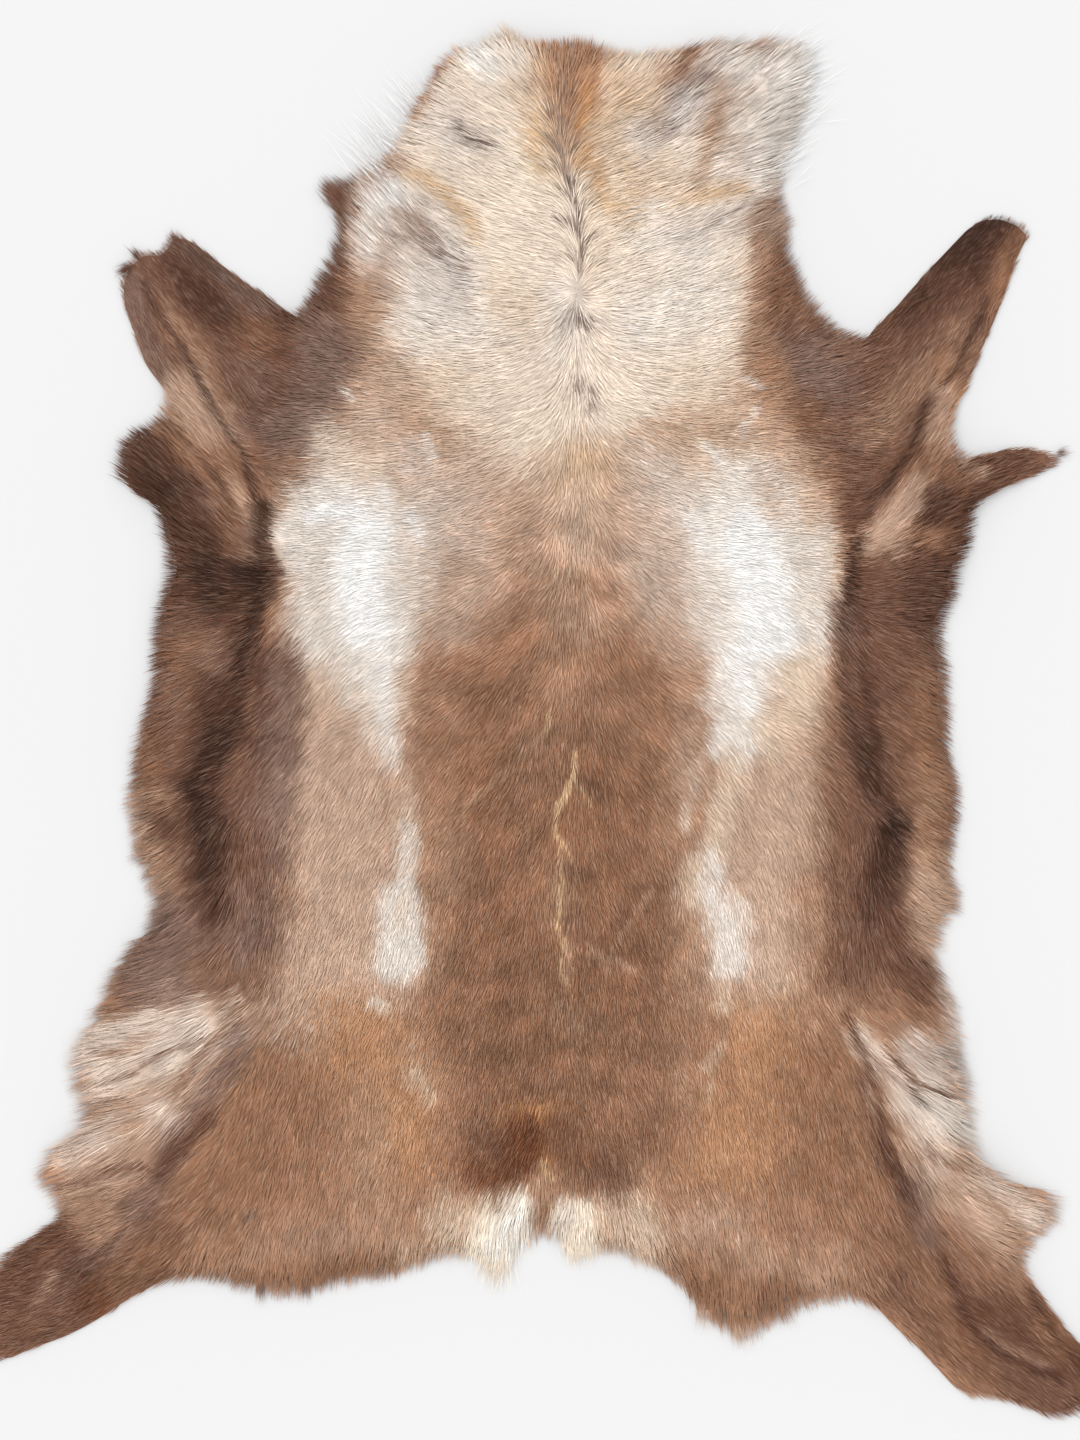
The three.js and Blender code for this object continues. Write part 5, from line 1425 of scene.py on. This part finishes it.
def growFur(name, top, bottom, spacing, loop, tree, strand, number):
    hairs = layHairs(name, top, bottom, spacing, loop, fur["seed"] + number)
    roots = rootPoints(name, hairs)
    piece = bpy.data.objects.new(name, roots)
    bpy.context.scene.collection.objects.link(piece)
    grow = piece.modifiers.new("fur", "NODES")
    grow.node_group = tree
    values = {
        "Strand": strand, "Hair Width": fur["hairWidth"] / board["perMetre"], "Arch": fur["arch"],
        "Turn Spread": fur["turnSpread"], "Length Spread": fur["lengthSpread"],
        "Seed": fur["seed"] + 10 * number, "Hair Material": hairMaterial,
    }
    for item in tree.interface.items_tree:
        if item.item_type == "SOCKET" and item.in_out == "INPUT" and item.name in values:
            grow[item.identifier] = values[item.name]
    depsgraph = bpy.context.evaluated_depsgraph_get()
    grown = bpy.data.meshes.new_from_object(
        piece.evaluated_get(depsgraph), preserve_all_data_layers=True, depsgraph=depsgraph)
    piece.modifiers.clear()
    piece.data = grown
    grown.name = name
    bpy.data.meshes.remove(roots)
    layFlat(grown)
    print(name, len(hairs["x"]), "hairs", len(grown.polygons), "faces")
    return piece


def newMaterial(name):  # a material with its shader joined to its output
    material = bpy.data.materials.new(name)
    material.use_nodes = True
    nodes, links = material.node_tree.nodes, material.node_tree.links
    nodes.clear()
    shader = nodes.new("ShaderNodeBsdfPrincipled")
    links.new(shader.outputs["BSDF"], nodes.new("ShaderNodeOutputMaterial").inputs["Surface"])
    return material, nodes, links, shader


def noiseNode(nodes, links, scale, detail):  # over the piece's own coordinates
    place = nodes.new("ShaderNodeTexCoord")
    node = nodes.new("ShaderNodeTexNoise")
    node.inputs["Scale"].default_value = scale
    node.inputs["Detail"].default_value = detail
    links.new(place.outputs["Object"], node.inputs["Vector"])
    return node.outputs["Fac"]


def roughen(nodes, links, shader, height, distance):
    bump = nodes.new("ShaderNodeBump")
    bump.inputs["Distance"].default_value = distance
    links.new(height, bump.inputs["Height"])
    links.new(bump.outputs["Normal"], shader.inputs["Normal"])


# the coat's colour deeper in the pile, darkened there as painted shade: dark hair swallows the light, and
# white hair keeps it
def makeDepthGroup():
    group = bpy.data.node_groups.new("coat depth", "ShaderNodeTree")
    face = group.interface
    face.new_socket("Coat", in_out="INPUT", socket_type="NodeSocketColor")
    face.new_socket("Depth", in_out="INPUT", socket_type="NodeSocketFloat")
    face.new_socket("Power", in_out="INPUT", socket_type="NodeSocketFloat")
    face.new_socket("Color", in_out="OUTPUT", socket_type="NodeSocketColor")
    nodes, links = group.nodes, group.links
    given = nodes.new("NodeGroupInput")
    made = nodes.new("NodeGroupOutput")
    power = nodes.new("ShaderNodeMath")
    power.operation = "MULTIPLY_ADD"
    links.new(given.outputs["Depth"], power.inputs[0])
    links.new(given.outputs["Power"], power.inputs[1])
    power.inputs[2].default_value = 1.0
    deep = nodes.new("ShaderNodeGamma")
    links.new(given.outputs["Coat"], deep.inputs["Color"])
    links.new(power.outputs[0], deep.inputs["Gamma"])
    links.new(deep.outputs["Color"], made.inputs["Color"])
    return group


def colourByDepth(nodes, links, shader, depth, power):
    coatNode = nodes.new("ShaderNodeAttribute")
    coatNode.attribute_name = "coat"
    node = nodes.new("ShaderNodeGroup")
    node.node_tree = depthGroup
    node.inputs["Power"].default_value = power
    links.new(coatNode.outputs["Color"], node.inputs["Coat"])
    links.new(depth, node.inputs["Depth"])
    links.new(node.outputs["Color"], shader.inputs["Base Color"])


# the root is deepest, and a hair is in full light from this far along
hair = {"rootPower": 0.16, "lightFrom": 0.5, "roughness": 0.62, "gloss": 0.12}


def makeHairMaterial():
    material, nodes, links, shader = newMaterial("reindeer hair")
    along = nodes.new("ShaderNodeAttribute")
    along.attribute_name = "along"
    depth = nodes.new("ShaderNodeMapRange")
    depth.inputs["From Max"].default_value = hair["lightFrom"]
    depth.inputs["To Min"].default_value = 1.0
    depth.inputs["To Max"].default_value = 0.0
    links.new(along.outputs["Fac"], depth.inputs["Value"])
    colourByDepth(nodes, links, shader, depth.outputs["Result"], hair["rootPower"])
    shader.inputs["Roughness"].default_value = hair["roughness"]
    shader.inputs["Specular IOR Level"].default_value = hair["gloss"]
    return material


# the undercoat's colour, darkened in fine curls as painted shade deep in the pile
wool = {"scale": 700.0, "detail": 3.0, "power": 0.3, "depth": 0.001, "roughness": 0.9}


def makeUndercoatMaterial():
    material, nodes, links, shader = newMaterial("undercoat")
    curls = noiseNode(nodes, links, wool["scale"], wool["detail"])
    colourByDepth(nodes, links, shader, curls, wool["power"])
    shader.inputs["Roughness"].default_value = wool["roughness"]
    roughen(nodes, links, shader, curls, wool["depth"])
    return material


# each tone: where it lies in the blotches, and its colour
suede = {
    "dark": (0.3, (0.50, 0.40, 0.30, 1.0)), "pale": (0.75, (0.68, 0.58, 0.46, 1.0)),
    "blotchScale": 9.0, "blotchDetail": 5.0, "napScale": 900.0, "napDetail": 2.0, "napDepth": 0.0004,
    "roughness": 0.95, "sheen": 0.3,
}


def makeSuedeMaterial():
    material, nodes, links, shader = newMaterial("suede")
    ramp = nodes.new("ShaderNodeValToRGB")
    for element, tint in zip(ramp.color_ramp.elements, (suede["dark"], suede["pale"])):
        element.position, element.color = tint
    blotches = noiseNode(nodes, links, suede["blotchScale"], suede["blotchDetail"])
    links.new(blotches, ramp.inputs["Fac"])
    links.new(ramp.outputs["Color"], shader.inputs["Base Color"])
    shader.inputs["Roughness"].default_value = suede["roughness"]
    shader.inputs["Sheen Weight"].default_value = suede["sheen"]
    nap = noiseNode(nodes, links, suede["napScale"], suede["napDetail"])
    roughen(nodes, links, shader, nap, suede["napDepth"])
    return material


depthGroup = makeDepthGroup()
hairMaterial = makeHairMaterial()
undercoatMaterial = makeUndercoatMaterial()
suedeMaterial = makeSuedeMaterial()

print("reading the solid")
under, top = solidGrids()
outline = solidOutline()
fields = {
    "under": smoothed(under, skin["underSmoothing"]), "top": smoothed(top, skin["topSmoothing"]),
    "comb": combGrid(), "length": placeGrid(hairLength), "locks": placeGrid(hairLocks),
}

print("skin")
loop = skinLoop(outline)
fields["edge"] = edgeGrid(loop)
skinPiece = makeSkin(loop)
print("skin", len(skinPiece.data.polygons), "faces")

print("fur")
strand = strandObject()
tree = furTree()
furPieces = []
for number, (name, bandTop, bandBottom, spacing) in enumerate(fur["bands"]):
    furPieces.append(growFur(name, bandTop, bandBottom, spacing, loop, tree, strand, number))
bpy.data.objects.remove(strand)
bpy.data.node_groups.remove(tree)

for piece in [skinPiece] + furPieces:
    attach(piece, "root")
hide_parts("hide")
for piece in furPieces:
    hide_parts("hide")

studio = {
    "above": (540.0, 720.0), "cameraHeight": 3.012, "lens": 75.0, "sensor": 36.0,
    "floor": 3.0, "floorDrop": 0.0004, "floorShade": (0.577, 0.577, 0.577 * 1.005, 1.0),
    "floorShine": 0.1, "floorRoughness": 0.9,
    "worldLight": 1.2, "sun": 1.42, "sunWidth": 1.0, "sunFrom": (-0.8, 1.2, 2.6),
}


def makeCamera(scene):
    lens = bpy.data.cameras.new("camera")
    lens.lens = studio["lens"]
    lens.sensor_width = studio["sensor"]
    camera = bpy.data.objects.new("camera", lens)
    camera.location = (*toFrame(*studio["above"]), studio["cameraHeight"])
    scene.collection.objects.link(camera)
    scene.camera = camera


def makeFloor(scene):
    half, drop = studio["floor"], studio["floorDrop"]
    ground = bpy.data.meshes.new("floor")
    corners = [(-half, -half, -drop), (half, -half, -drop), (half, half, -drop), (-half, half, -drop)]
    ground.from_pydata(corners, [], [(0, 1, 2, 3)])
    material, nodes, links, shader = newMaterial("paper")
    shader.inputs["Base Color"].default_value = studio["floorShade"]
    shader.inputs["Roughness"].default_value = studio["floorRoughness"]
    shader.inputs["Specular IOR Level"].default_value = studio["floorShine"]
    ground.materials.append(material)
    floor = bpy.data.objects.new("floor", ground)
    scene.collection.objects.link(floor)


def makeLight(scene):
    world = bpy.data.worlds.new("studio")
    scene.world = world
    world.use_nodes = True
    glow = world.node_tree.nodes["Background"]
    glow.inputs["Color"].default_value = (1.0, 1.0, 1.0, 1.0)
    glow.inputs["Strength"].default_value = studio["worldLight"]
    lamp = bpy.data.lights.new("key", "SUN")
    lamp.energy = studio["sun"]
    lamp.angle = studio["sunWidth"]
    key = bpy.data.objects.new("key", lamp)
    key.location = studio["sunFrom"]
    key.rotation_euler = (-key.location).to_track_quat("-Z", "Y").to_euler()
    scene.collection.objects.link(key)


makeCamera(bpy.context.scene)
makeFloor(bpy.context.scene)
makeLight(bpy.context.scene)
bpy.context.scene.view_settings.view_transform = "Standard"
print("studio")
